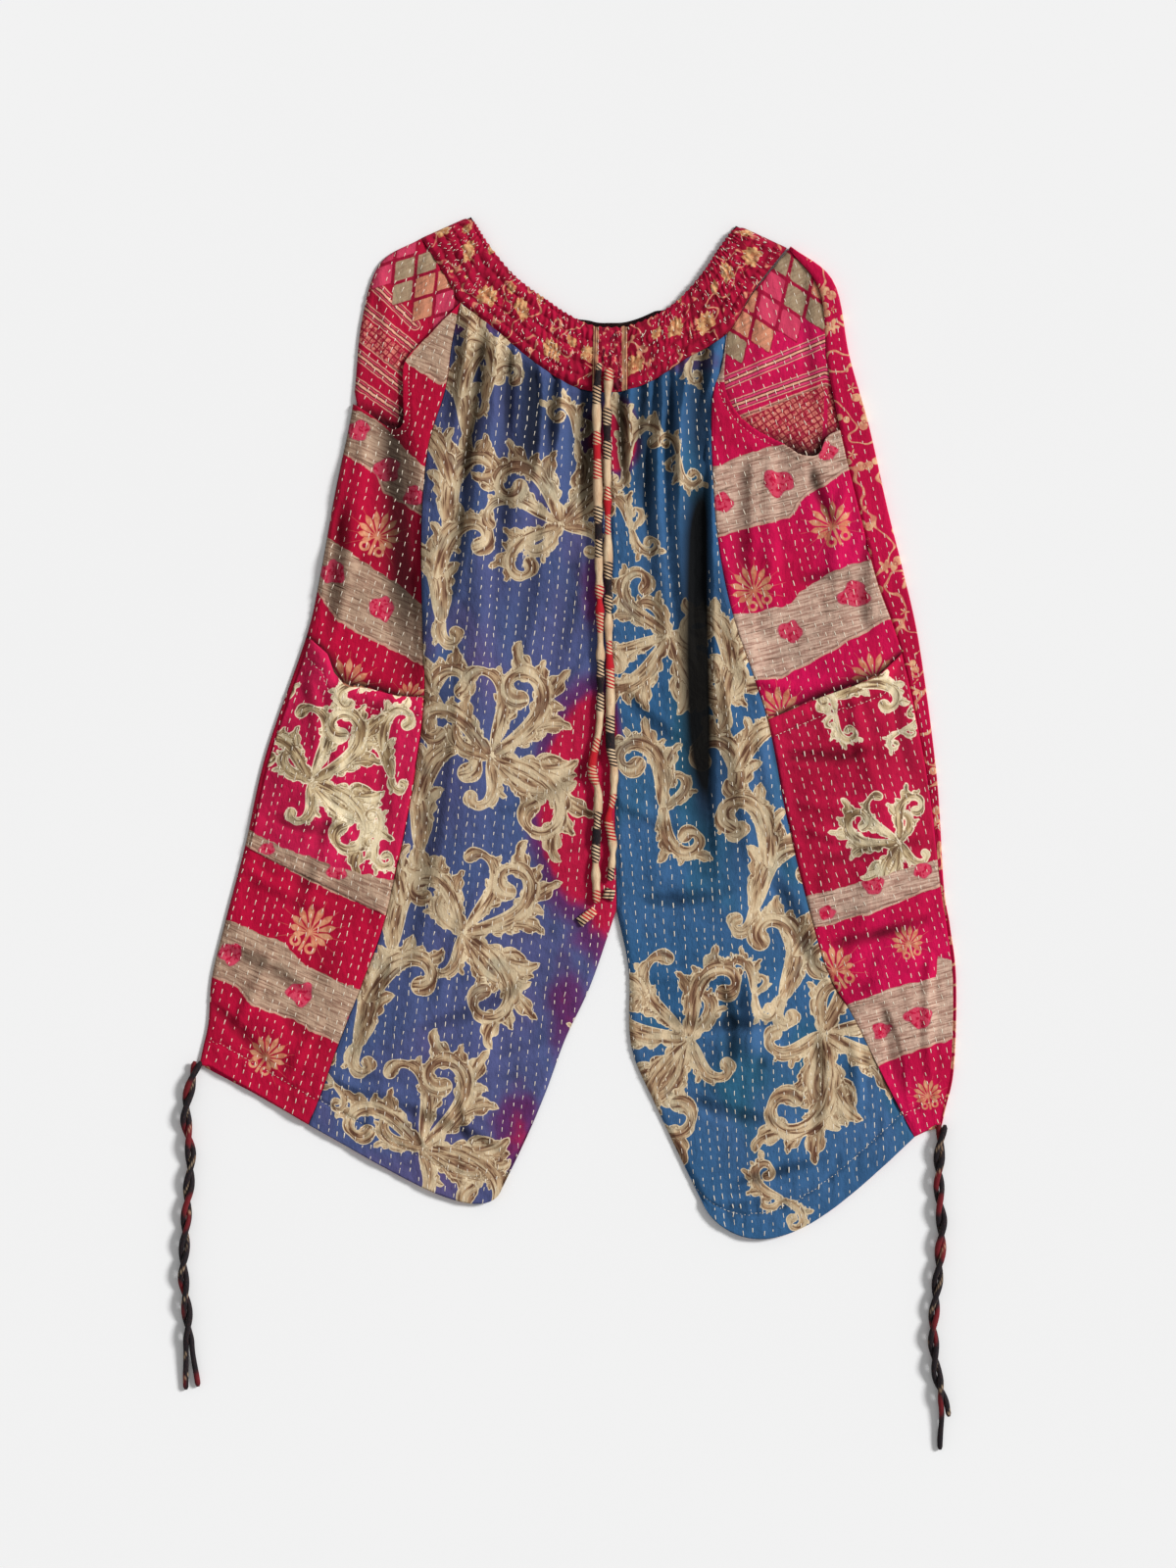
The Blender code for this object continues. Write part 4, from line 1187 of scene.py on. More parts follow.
class Cloth:
    """A fabric material, put together from numbers and colours that vary over the surface."""

    def __init__(self, name, roughness=0.88, sheen=0.03):
        self.material = bpy.data.materials.new(name)
        self.material.use_nodes = True
        self.tree = self.material.node_tree
        self.surface = self.tree.nodes["Principled BSDF"]
        self.surface.inputs["Roughness"].default_value = roughness
        self.surface.inputs["Specular IOR Level"].default_value = 0.16
        self.surface.inputs["Sheen Weight"].default_value = sheen
        self.surface.inputs["Sheen Roughness"].default_value = 0.5
        self.place = self.tree.nodes.new("ShaderNodeTexCoord").outputs["Object"]

    def outputs(self, kind, inputs, **settings):
        """The outputs of a new node. An input is a value, or an output of another node."""
        made = self.tree.nodes.new(kind)
        for key, value in settings.items():
            setattr(made, key, value)
        for key, value in inputs.items():
            if isinstance(value, bpy.types.NodeSocket):
                self.tree.links.new(value, made.inputs[key])
            else:
                made.inputs[key].default_value = value
        return made.outputs

    def node(self, kind, inputs, output=0, **settings):
        """One output of a new node."""
        return self.outputs(kind, inputs, **settings)[output]

    def field(self, name):
        """Values kept on the points of the mesh."""
        return self.node("ShaderNodeAttribute", {}, "Fac", attribute_name=name)

    def math(self, operation, a, b=0.0, c=0.0):
        """One arithmetic step on values."""
        return self.node("ShaderNodeMath", {0: a, 1: b, 2: c}, operation=operation)

    def scaled(self, value, factor, offset):
        """A value times a factor, plus an offset."""
        return self.math("MULTIPLY_ADD", value, factor, offset)

    def less(self, a, b):
        """The first value less the second."""
        return self.math("SUBTRACT", a, b)

    def off(self, value, middle):
        """How far a value is from a middle one."""
        return self.math("ABSOLUTE", self.less(value, middle))

    def times(self, *values):
        """The product of values."""
        total = values[0]
        for value in values[1:]:
            total = self.math("MULTIPLY", total, value)
        return total

    def step(self, low, high, value):
        """A soft rise from 0 at one value to 1 at another."""
        inputs = {"Value": value, "From Min": low, "From Max": high}
        return self.node("ShaderNodeMapRange", inputs, interpolation_type="SMOOTHSTEP")

    def between(self, value, low, high, soft=0.2):
        """1 where a value is between two others."""
        up = self.step(low - soft, low + soft, value)
        return self.times(up, self.less(1.0, self.step(high - soft, high + soft, value)))

    def lines(self, value, pitch, share=0.5):
        """1 on lines at a pitch across a value, and 0 between them."""
        wave = self.math("COSINE", self.times(value, math.tau / pitch))
        edge = math.cos(math.pi * share)
        return self.step(edge - 0.25, edge + 0.25, wave)

    def speckle(self, place, detail):
        """Noise from 0 to 1 at a place, with features of about one unit."""
        return self.node("ShaderNodeTexNoise", {"Vector": place, "Scale": 1.0, "Detail": detail})

    def noise(self, across, along=None, turn=0.0, detail=2.0):
        """Noise from 0 to 1 with features of a size in millimetres, along a turned direction."""
        scale = (across * MM, (along or across) * MM, across * MM)
        inputs = {"Vector": self.place, "Rotation": (0, 0, math.radians(turn)), "Scale": scale}
        return self.speckle(self.node("ShaderNodeMapping", inputs, vector_type="TEXTURE"), detail)

    def mix(self, share, a, b, blend="MIX"):
        """A blend of two colours, by the share of the second."""
        inputs = {0: share, 6: a, 7: b}
        return self.node("ShaderNodeMix", inputs, 2, data_type="RGBA", blend_type=blend)

    def layers(self, ground, *laid):
        """Colours laid over a ground in turn, each by its share."""
        for share, colour in laid:
            ground = self.mix(share, ground, colour)
        return ground

    def mottled(self, colour, other, size):
        """Two colours in soft spots of a size."""
        return self.mix(self.step(0.28, 0.72, self.noise(size, detail=3.0)), colour, other)

    def wear(self, colour, height, strength, distance):
        """Puts on a colour and a pattern raised by a distance, and gives back the material."""
        inputs = {"Height": height, "Strength": strength, "Distance": distance * MM}
        self.tree.links.new(self.node("ShaderNodeBump", inputs), self.surface.inputs["Normal"])
        return self.wear_colour(colour)

    def wear_colour(self, colour):
        """Puts on a colour, and gives back the material."""
        self.tree.links.new(colour, self.surface.inputs["Base Color"])
        return self.material

    def finish(self, colour, weave=0.7):
        """Adds the weave, the wash, broad patches of painted light and shade, and the painted shade of the
        folds.
        """
        fine = self.noise(0.55, 2.6, detail=1.0)
        cross = self.noise(2.6, 0.55, detail=1.0)
        thread = self.math("ADD", fine, cross)
        wash = self.scaled(self.noise(5.0, 9.0, detail=3.0), 0.18, -0.03)
        light = self.math("ADD", self.scaled(thread, SLUB, 0.92 - SLUB), wash)
        # Painted shade: the colour is darkened by the shade field, in folds, troughs and hollows.
        deep = self.scaled(self.field("shade"), -SHADE, 1.0)
        # Painted light and shade in broad soft patches, over all of the cloth.
        broad = self.scaled(self.noise(38.0, 80.0, -6.0), 0.36, 0.84)
        light = self.times(light, deep, broad)
        grey = self.node("ShaderNodeCombineColor", {0: light, 1: light, 2: light})
        pucker = self.times(self.noise(3.2, 6.5), 0.9)
        relief = self.scaled(thread, 0.22, pucker)
        return self.wear(self.mix(1.0, colour, grey, "MULTIPLY"), relief, weave, 1.2)

    def strokes(self, across, along):
        """Noise in strokes that run along a printed frond, of a width and a length."""
        hatch = self.math("DIVIDE", self.field("hatch"), across)
        run = self.math("DIVIDE", self.field("run"), along)
        return self.speckle(self.node("ShaderNodeCombineXYZ", {0: hatch, 1: run}), 1.0)

    def engraved(self, ground, light, middle, dark, ink, rim):
        """Painted fronds on a ground: their shaded fill, pen lines along them, a pale outline."""
        motif = self.field("motif")
        tone = self.scaled(self.noise(34.0, detail=1.0), 0.5, self.strokes(*TONE_STROKES))
        faded = self.times(self.step(0.56, 0.7, self.noise(30.0)), 0.35)
        pen = self.step(0.52, 0.6, self.strokes(*PEN_STROKES))
        pen = self.times(pen, self.step(0.9, 1.7, motif))
        fill = self.layers(
            light,
            (self.step(0.62, 0.8, tone), middle),
            (self.step(0.76, 0.94, tone), dark),
            (faded, FADED),
            (self.times(pen, self.step(0.54, 0.78, tone), 0.88), ink),
            (self.times(self.between(motif, 0.9, 1.5), self.step(0.7, 0.9, tone), 0.8), ink),
            (self.between(motif, -0.4, 0.7), rim),
        )
        return self.mix(self.step(-0.3, 0.2, motif), ground, fill)

    def radius(self, x, y):
        """The distance of a place from the origin."""
        return self.math("SQRT", self.math("ADD", self.times(x, x), self.times(y, y)))

    def fan(self, x, y, turn, most, half):
        """A flower of drop-shaped petals round its middle: 1 on it. turn is from petal to petal."""
        angle = self.math("ARCTAN2", x, y)
        number = self.math("ROUND", self.math("DIVIDE", angle, turn))
        number = self.math("MINIMUM", self.math("MAXIMUM", number, -most), most)
        off = self.less(angle, self.times(number, turn))
        radius = self.radius(x, y)
        reach = self.scaled(self.times(number, number), -0.42 / most**2, 1.0)
        place = self.math("DIVIDE", self.times(radius, self.math("COSINE", off)), reach)
        across = self.math("ABSOLUTE", self.times(radius, self.math("SINE", off)))
        drop = self.math("SQRT", self.step(1.02, 0.7, place))
        stalk = self.times(self.step(1.0, 0.9, place), 0.03)
        width = self.math("MAXIMUM", self.times(self.step(0.05, 0.85, place), drop, half), stalk)
        return self.step(-0.02, 0.03, self.less(width, across))

    def ring(self, x, y, radius, half):
        """1 on a ring of a radius and a half width."""
        return self.step(half + 0.02, half - 0.02, self.off(self.radius(x, y), radius))


def front_material(leg):
    """Blue cloth with red zones that bled in, and khaki fronds."""
    cloth = Cloth(f"printed_blue_{leg}")
    blues, third, start, size = BLUES[leg]
    bleed = cloth.scaled(cloth.noise(26, detail=3.0), 0.5, cloth.field("bleed"))
    bleed = cloth.less(bleed, 0.25)
    ground = cloth.layers(
        cloth.mottled(*blues),
        (cloth.step(start, 0.72, cloth.noise(*size)), third),
        (cloth.step(0.12, 0.5, bleed), dye(88, 40, 92)),
        (cloth.step(0.5, 0.78, bleed), dye(176, 16, 58)),
    )
    return cloth.finish(cloth.engraved(ground, *KHAKI))


def banded(cloth, ground, leg):
    """Lays the woven beige bands and their pink blots over a ground."""
    turn = BAND_TURN[leg]
    low, blot = cloth.field("band_low"), cloth.field("blot")
    pink = cloth.mix(cloth.step(0.5, 0.6, cloth.noise(3.0)), dye(204, 66, 92), dye(184, 14, 58))
    pale = cloth.step(0.64, 0.8, cloth.noise(20.0, 1.4, turn + 2))
    beige = cloth.layers(
        cloth.mix(cloth.step(0.38, 0.66, cloth.noise(15.0, 1.5, turn, 3.0)), *WOVEN[leg]),
        (cloth.step(0.6, 0.74, cloth.noise(26.0, 1.3, turn)), dye(104, 74, 60)),
        (cloth.times(pale, 0.7), dye(212, 186, 160)),
        (cloth.times(cloth.between(low, 2.0, 3.2, 0.4), 0.5), dye(112, 66, 58)),
        (cloth.times(cloth.between(low, 0.5, 1.8, 0.4), 0.6), dye(208, 160, 138)),
        (cloth.step(-0.3, 0.3, blot), pink),
        (cloth.times(cloth.between(blot, -0.7, 0.3), 0.5), dye(160, 50, 80)),
    )
    return cloth.mix(cloth.step(-0.35, 0.35, cloth.field("band")), ground, beige)


def side_material(leg):
    """Crimson cloth with palm flowers, each with two curls and a stem below it, and bands."""
    cloth = Cloth(f"printed_crimson_{leg}")
    x, y = cloth.field("palm_x"), cloth.field("palm_y")
    curl = cloth.less(cloth.math("ABSOLUTE", x), 0.3)
    curls = cloth.ring(curl, cloth.math("ADD", y, 0.5), 0.15, 0.05)
    stem = cloth.step(0.07, 0.04, cloth.math("ABSOLUTE", x))
    stem = cloth.times(stem, cloth.between(y, -0.75, 0.1, 0.03))
    flower = cloth.math("MAXIMUM", cloth.fan(x, y, 0.44, 5, 0.125), curls)
    flower = cloth.math("MAXIMUM", flower, stem)
    flower = cloth.times(flower, cloth.step(1.3, 1.2, cloth.field("palm_r")))
    peach = cloth.mix(cloth.step(0.4, 0.62, cloth.noise(6.0)), dye(216, 152, 116), dye(200, 116, 88))
    ground = cloth.mix(flower, cloth.mottled(*REDS[f"side_{leg}"]), peach)
    return cloth.finish(banded(cloth, ground, leg))


def pocket_material(leg):
    """Red cloth with pale fronds and woven bands."""
    cloth = Cloth(f"printed_pocket_{leg}")
    ground = cloth.engraved(cloth.mottled(*REDS[f"pocket_{leg}"]), *PALE)
    return cloth.finish(banded(cloth, ground, leg))


def yoke_material(leg):
    """Red cloth with striped bands, a net and rows of diamonds in three colours."""
    cloth = Cloth(f"printed_yoke_{leg}")
    stripe, diamond, kind = cloth.field("stripe"), cloth.field("diamond"), cloth.field("kind")
    middle = cloth.math("ABSOLUTE", cloth.field("across"))
    lined = cloth.layers(
        cloth.mix(cloth.step(1.5, 2.1, middle), dye(112, 34, 42), STRIPE_PINK[leg]),
        (cloth.less(1.0, cloth.step(0.6, 1.0, middle)), dye(226, 166, 138)),
        (cloth.times(cloth.between(stripe, 0.9, 1.6), 0.8), dye(104, 36, 44)),
        (cloth.between(stripe, -0.4, 0.8), dye(216, 150, 130)),
    )
    one, other = (cloth.lines(cloth.field(way), NET_PITCH, 0.26) for way in ("weft", "warp"))
    net = cloth.mix(cloth.step(0.4, 0.6, cloth.noise(3.0)), dye(176, 44, 66), dye(214, 128, 112))
    net = cloth.mix(cloth.times(cloth.math("MAXIMUM", one, other), 0.9), net, dye(136, 4, 38))
    fill = cloth.layers(
        cloth.mix(cloth.step(0.45, 0.55, kind), dye(206, 136, 106), dye(164, 142, 114)),
        (cloth.times(cloth.step(0.4, 0.7, cloth.noise(12.0, 2.0, 30.0)), 0.5), dye(132, 96, 76)),
        (cloth.step(1.45, 1.55, kind), dye(200, 60, 92)),
    )
    return cloth.finish(cloth.layers(
        cloth.mottled(*REDS[f"yoke_{leg}"]),
        (cloth.step(-0.3, 0.3, stripe), lined),
        (cloth.step(-0.3, 0.3, cloth.field("lattice")), net),
        (cloth.step(-0.3, 0.3, diamond), fill),
        (cloth.times(cloth.between(diamond, -1.1, 0.3), 0.85), dye(146, 8, 46)),
    ))


def vine_material(name):
    """Peach leaves and flowers at scattered places on red, with thin stems wandering past them."""
    cloth = Cloth(name)
    scale = 1 / (VINE_PITCH * MM)
    place = cloth.node("ShaderNodeVectorMath", {0: cloth.place, 3: scale}, operation="SCALE")
    flat = cloth.node("ShaderNodeVectorMath", {0: place, 1: (1, 1, 0)}, operation="MULTIPLY")
    cells = cloth.outputs("ShaderNodeTexVoronoi", {"Vector": flat, "Scale": 1.0, "Randomness": 0.75})
    reach = cells["Distance"]
    inputs = {0: flat, 1: cells["Position"]}
    gap = cloth.node("ShaderNodeVectorMath", inputs, operation="SUBTRACT")
    x, y, _ = cloth.outputs("ShaderNodeSeparateXYZ", {0: gap})
    kind, turn, _ = cloth.outputs("ShaderNodeSeparateColor", {0: cells["Color"]})
    angle = cloth.math("ARCTAN2", y, x)
    flower = cloth.scaled(cloth.math("COSINE", cloth.times(angle, 5.0)), 0.11, 0.33)
    leaf = cloth.math("COSINE", cloth.scaled(turn, math.tau, angle))
    leaf = cloth.scaled(cloth.math("ABSOLUTE", leaf), 0.36, 0.12)
    size = cloth.mix(cloth.step(0.5, 0.52, kind), leaf, flower)
    edge = cloth.scaled(cloth.noise(3.0), 0.08, -0.04)
    shape = cloth.math("ADD", cloth.less(size, reach), edge)
    veins = cloth.less(1.0, cloth.step(0.02, 0.05, cloth.off(reach, 0.1)))
    stem = cloth.step(0.024, 0.014, cloth.off(cloth.noise(24.0, detail=1.0), 0.5))
    peach = cloth.mix(cloth.step(0.4, 0.6, cloth.noise(5.0)), dye(226, 176, 134), dye(206, 130, 104))
    return cloth.finish(cloth.layers(
        cloth.mottled(dye(192, 6, 66), dye(168, 2, 50), 90),
        (cloth.times(stem, 0.85), peach),
        (cloth.step(-0.01, 0.02, shape), peach),
        (cloth.times(veins, cloth.step(0.0, 0.03, shape), 0.6), dye(170, 50, 60)),
    ))


def speckled(cloth, ground):
    """The placket's cloth: speckles, and a bound edge on either side."""
    bits, edge = cloth.noise(2.6, 4.5, detail=3.0), cloth.field("edge")
    return cloth.layers(
        ground,
        (cloth.step(0.55, 0.62, bits), dye(200, 96, 92)),
        (cloth.step(0.64, 0.7, bits), dye(214, 178, 134)),
        (cloth.step(0.56, 0.62, cloth.noise(3.4, 12.0)), dye(92, 16, 34)),
        (cloth.between(edge, 0.4, 4.6), dye(190, 146, 108)),
        (cloth.between(edge, 1.4, 2.4), dye(92, 36, 40)),
        (cloth.between(edge, 3.2, 3.8), dye(120, 60, 52)),
    )


def flowered(cloth, ground):
    """The waistband's cloth: thin vines, flower heads and buds."""
    leaf = cloth.mix(cloth.step(0.42, 0.6, cloth.noise(3.4)), dye(214, 166, 116), dye(184, 118, 78))
    vine = cloth.step(0.022, 0.01, cloth.off(cloth.noise(20.0, detail=1.0), 0.5))
    vine = cloth.times(vine, cloth.step(0.4, 0.5, cloth.noise(16.0)))
    heads = cloth.fan(cloth.field("head_x"), cloth.field("head_y"), 0.42, 3, 0.215)
    return cloth.layers(
        ground,
        (cloth.times(vine, 0.8), dye(214, 150, 118)),
        (cloth.times(heads, cloth.step(1.3, 1.2, cloth.field("head_r"))), leaf),
        (cloth.step(0.0, 0.03, cloth.less(cloth.noise(7.0, detail=1.0), 0.76)), leaf),
    )


def band_material(name):
    """Crimson cloth with cream flowers, or with speckles on the placket."""
    cloth = Cloth(f"printed_{name}")
    ground = cloth.mottled(dye(172, 8, 54), dye(142, 6, 40), 22)
    pattern = speckled if name == "waistband_placket" else flowered
    return cloth.finish(pattern(cloth, ground), weave=0.6)


def thread_material():
    """Cream stitching thread."""
    cloth = Cloth("kantha_thread", 0.7, 0.05)
    return cloth.wear_colour(cloth.mix(cloth.noise(9.0), dye(242, 232, 214), dye(226, 212, 190)))


# ---- Camera and cords ----

CAMERA_AT = (10.8, -45.2, 3000)
CAMERA_LENS = 84.4
CAMERA_REACH = 100000

# From one ring of a tie to the next, and from one of its stripes to the next.
WAIST_STEP = 1.0
ANKLE_STEP = 2.5
TIE_STRIPE = 2.9

# The striped cloth of the waist ties, over and over along them: how red and how pale a stretch
# is, whether cream stripes cross it, and its length.
STRETCHES = np.array([
    (0, 0, 0, 13), (0, 0, 1, 15), (0, 1, 0, 22), (1, 0, 1, 11),
    (1, 0, 0, 12), (1, 0, 1, 16), (0, 1, 0, 22), (0, 0, 1, 14),
], float)
# How far into these stretches a tie starts.
TIE_START = {"left": 120, "right": 78}
# The size of the red patches of an ankle tie, and the pitch of its pale windings, which come and go.
ANKLE_PATCH = 19
ANKLE_WINDING = 23
ANKLE_WINDINGS_FADE = 17


def make_camera():
    """Looks straight down at the flat garment, its waist up."""
    camera = bpy.data.objects.new("camera", bpy.data.cameras.new("camera"))
    camera.data.lens = CAMERA_LENS
    camera.data.clip_end = CAMERA_REACH * MM
    camera.location = Vector(CAMERA_AT) * MM
    bpy.context.scene.collection.objects.link(camera)
    bpy.context.scene.camera = camera


def even_path(route, spacing):
    """Points at an even spacing on a smooth curve through a route's points."""
    path = along(route, np.linspace(0, len(route) - 1, 40 * len(route)))
    length = path_length(path)
    stops = np.linspace(0, length[-1], max(2, round(length[-1] / spacing)) + 1)
    return at_stops(path, length, stops)


def cloth_top(x, y):
    """The highest front cloth within a tie's width of a point."""
    reach = 0.5 * WAIST_TIE_WIDTH
    around = np.array([(x + dx, y + dy) for dx in (-reach, 0, reach) for dy in (-8, 0, 8)])
    return skin(around).max() + WALL


def tie_fields(run, turn, start):
    """Colours of a waist tie at places along it and round it, and painted shade along its sides. Its
    stripes run askew.
    """
    ends = np.cumsum(STRETCHES[:, 3])
    number = np.searchsorted(ends, (run + start) % ends[-1], side="right")
    red, pale, striped, _ = np.moveaxis(STRETCHES[number], -1, 0)
    askew = run + 1.5 * np.cos(turn)
    return {"red": red, "pale": pale, "striped": striped, "askew": askew, "rim": np.abs(np.cos(turn)) ** 3}


def ankle_fields(run, turn, start):
    """Dark cloth with rust-red patches and thin pale windings."""
    patch = noise(np.stack([run + start, turn * 2], axis=-1), ANKLE_PATCH, 40)
    wave = np.cos(math.tau * run / ANKLE_WINDING + turn + 2 * patch)
    pale = smooth_step(0.93, 0.985, wave) * (np.sin((run + start) / ANKLE_WINDINGS_FADE) > 0)
    return {"red": 0.26 * smooth_step(0.05, 0.35, patch), "pale": 0.45 * pale}


def tube(name, path, width, height, fields_at, wander, sides=12):
    """A closed tube round a path, wider than it is high, with flat-ended caps."""
    run = path_length(path)
    tangent = unit(np.gradient(path, axis=0))
    across = unit(np.cross(tangent, (0, 0, 1)))
    up = np.cross(across, tangent)
    angle = np.linspace(0, math.tau, sides, endpoint=False)
    ends = np.minimum(run, run[-1] - run)
    taper = (0.55 + 0.45 * smooth_step(0, 2.5, ends))[:, None]
    uneven = 1 + wander * noise(np.stack([run, run * 0.3], axis=1), 9, len(name))[:, None]
    rim_across = 0.5 * width * np.cos(angle) * taper * uneven
    rim_up = 0.5 * height * np.sin(angle) * taper * uneven
    rings = path[:, None] + across[:, None] * rim_across[..., None] + up[:, None] * rim_up[..., None]
    index = np.arange(rings.size // 3).reshape(-1, sides)
    ahead = np.roll(index, -1, axis=1)
    faces = np.stack([index[:-1], ahead[:-1], ahead[1:], index[1:]], axis=-1).reshape(-1, 4).tolist()
    faces += [index[0][::-1].tolist(), index[-1].tolist()]
    fields = fields_at(*np.broadcast_arrays(run[:, None], angle))
    fields = {key: value.ravel() for key, value in fields.items()}
    return new_piece(name, rings.reshape(-1, 3), faces, fields)


def tie_material():
    """Cloth in black, red and cream, which the fields of each tie choose from, with painted shade along
    the sides.
    """
    cloth = Cloth("striped_tie", 0.75)
    cream = cloth.mix(cloth.step(0.3, 0.7, cloth.noise(4.0, 14.0)), dye(230, 202, 164), dye(206, 168, 132))
    fine = cloth.noise(0.5, 3.0, detail=1.0)
    colour = cloth.layers(
        cloth.mix(cloth.field("red"), dye(26, 22, 26), dye(188, 24, 38)),
        (cloth.field("pale"), cream),
        (cloth.times(cloth.field("striped"), cloth.lines(cloth.field("askew"), TIE_STRIPE)), cream),
        # Painted shade along the two sides of the tie.
        (cloth.times(cloth.field("rim"), 0.6), dye(40, 22, 26)),
        (cloth.times(cloth.step(0.55, 0.75, fine), 0.25), dye(120, 70, 60)),
    )
    return cloth.wear(colour, fine, 0.5, 0.6)


def waist_tie_path(side):
    """The tie rests on the cloth under it, a little flattened."""
    lift = CORD_REST + 0.5 * WAIST_TIE_WIDTH
    return even_path([(*place, cloth_top(*place) + lift) for place in WAIST_TIES[side]], WAIST_STEP)


def ankle_tie_path(side, strand):
    """One of two strands that twist round each other and part near their ends."""
    middle = even_path([(*place, 0) for place in ANKLE_TIES[side]], ANKLE_STEP)
    share = np.linspace(0, 1, len(middle))
    turn = np.minimum(1, share / ANKLE_PARTING)
    angle = math.tau * ANKLE_TWISTS * turn + (math.pi if strand == 2 else 0)
    parting = smooth_step(ANKLE_PARTING, 1.0, share)
    sign = 1 if strand == 2 else -1
    half = 0.5 * ANKLE_STRAND_APART
    across = half * np.cos(angle) * (1 - parting) + sign * ANKLE_SPREAD[side] * parting
    height = 0.5 * ANKLE_STRAND + half * (1 + np.sin(angle)) * (1 - parting)
    path = np.stack([middle[:, 0] + across, middle[:, 1], height], axis=1)
    return path[: round(len(path) * ANKLE_SHORTER[side])] if strand == 2 else path


def make_tip(side):
    """The folded cloth end of a waist tie: a soft flat tab with a fold along its middle."""
    tip = TIE_TIPS[side]
    length, width, thick = tip.size
    v, u = np.meshgrid(np.linspace(-1, 1, 25), np.linspace(-1, 1, 17), indexing="ij")
    local = np.stack([0.5 * length * u, 0.5 * width * v * (1 - 0.18 * (u > 0) * u**2)], axis=-1)
    plan = turned(local, -tip.turn) + tip.centre
    edge = 1 - np.maximum(np.abs(u), np.abs(v)) ** 6
    low = np.full(u.shape, cloth_top(*tip.centre) + CORD_REST)
    crease = 0.5 * bell(v / 0.3) + 0.25 * noise(plan, 3, 7)
    top = low + thick * (0.45 + 0.55 * edge) - crease * edge
    red = smooth_step(-0.4, -0.3, u) if side == "left" else 0 * u
    askew = local[..., 0] + local[..., 1] / 3
    fields = {"red": red, "pale": 0 * u, "striped": 0 * u + 1, "askew": askew}
    return shell(f"waist_tie_tip_{side}", plan, top, fields, low=low, coarse=2)


def declare_cord(tie, path, diameter, **facts):
    """Works out the length of a tie's path, and keeps nothing of it."""
    path_length(path)[-1] * MM


def make_cords():
    """The two waist ties with their tips, and two strands at each ankle."""
    material = tie_material()
    for side, start in TIE_START.items():
        path = waist_tie_path(side)
        size = (WAIST_TIE_WIDTH, 0.6 * WAIST_TIE_WIDTH)
        tie = tube(f"waist_tie_{side}", path, *size, lambda *at: tie_fields(*at, start), wander=0.3)
        tip = make_tip(side)
        for piece in (tie, tip):
            piece.data.materials.append(material)
        declare_cord(tie, path, WAIST_TIE_WIDTH, far_end="knot", with_pieces=[tip])
        for strand in (1, 2):
            path = ankle_tie_path(side, strand)
            size = (ANKLE_LOOK, ANKLE_STRAND)
            shift = start + 60 * strand
            name = f"ankle_tie_{side}_{strand}"
            tie = tube(name, path, *size, lambda *at: ankle_fields(*at, shift), wander=0.08)
            tie.data.materials.append(material)
            declare_cord(tie, path, ANKLE_STRAND, far_end="bare")


# ---- Prints ----


def blank(points):
    """Signed distances that leave points unprinted."""
    return np.full(points.shape[:-1], UNPRINTED)


def engraved_fields(name, points):
    """The fronds of a panel's print."""
    flat = np.zeros(points.shape[:-1])
    fields = {"motif": blank(points), "hatch": flat, "run": flat.copy()}
    for motif, *place in PRINTS[name]:
        paint(fields, points, placed(MOTIFS[motif], *place))
    return fields


def dye_field(name, points):
    """How strong the red dye is."""
    total = np.zeros(points.shape[:-1])
    for d in DYES[name]:
        reach = np.hypot((points[..., 0] - d.x) / d.across, (points[..., 1] - d.y) / d.along)
        total = np.maximum(total, d.strength * bell(reach))
    return total


def band_fields(leg, points):
    """Signed distances to the woven bands, to their lower edges and to the blots in them."""
    wobble = np.stack([noise(points, 7, 3), noise(points, 7, 4)], axis=-1) * 1.2
    points = points + wobble + 0.5 * noise(points, 2.6, 5)[..., None]
    band, blot = blank(points), blank(points)
    low = np.zeros(points.shape[:-1])
    for top_edge, low_edge in BANDS[leg]:
        depth = inside(points, top_edge + low_edge[::-1])
        edge = np.clip(distance_to(points, low_edge), 0, 12)
        low = np.where(depth > band, edge, low)
        band = np.maximum(band, depth)
    for x, y, size in BLOTS[leg]:
        right, up = np.moveaxis(points - (x, y), -1, 0)
        angle = np.arctan2(up, right)
        petals = 0.07 * np.cos(5 * angle + x) + 0.09 * np.cos(3 * angle + y)
        blot = np.maximum(blot, size * (0.86 + petals) - np.hypot(right, 1.15 * up))
    return {"band": band, "band_low": low, "blot": blot}


def flower_fields(name, points, flowers, unit_size):
    """Coordinates of points about the nearest flower, in units of its size."""
    near = np.full(points.shape, 9.0)
    for x, y, size, turn in flowers:
        local = turned(points - (x, y), turn) / (unit_size * size)
        closer = np.hypot(*np.moveaxis(local, -1, 0)) < np.hypot(*np.moveaxis(near, -1, 0))
        near = np.where(closer[..., None], local, near)
    x, y = np.moveaxis(near, -1, 0)
    return {f"{name}_x": x, f"{name}_y": y, f"{name}_r": np.hypot(x, y)}


def side_fields(leg, points):
    """The palm flowers and the woven bands."""
    return {**flower_fields("palm", points, PALMS[leg], 0.56), **band_fields(leg, points)}


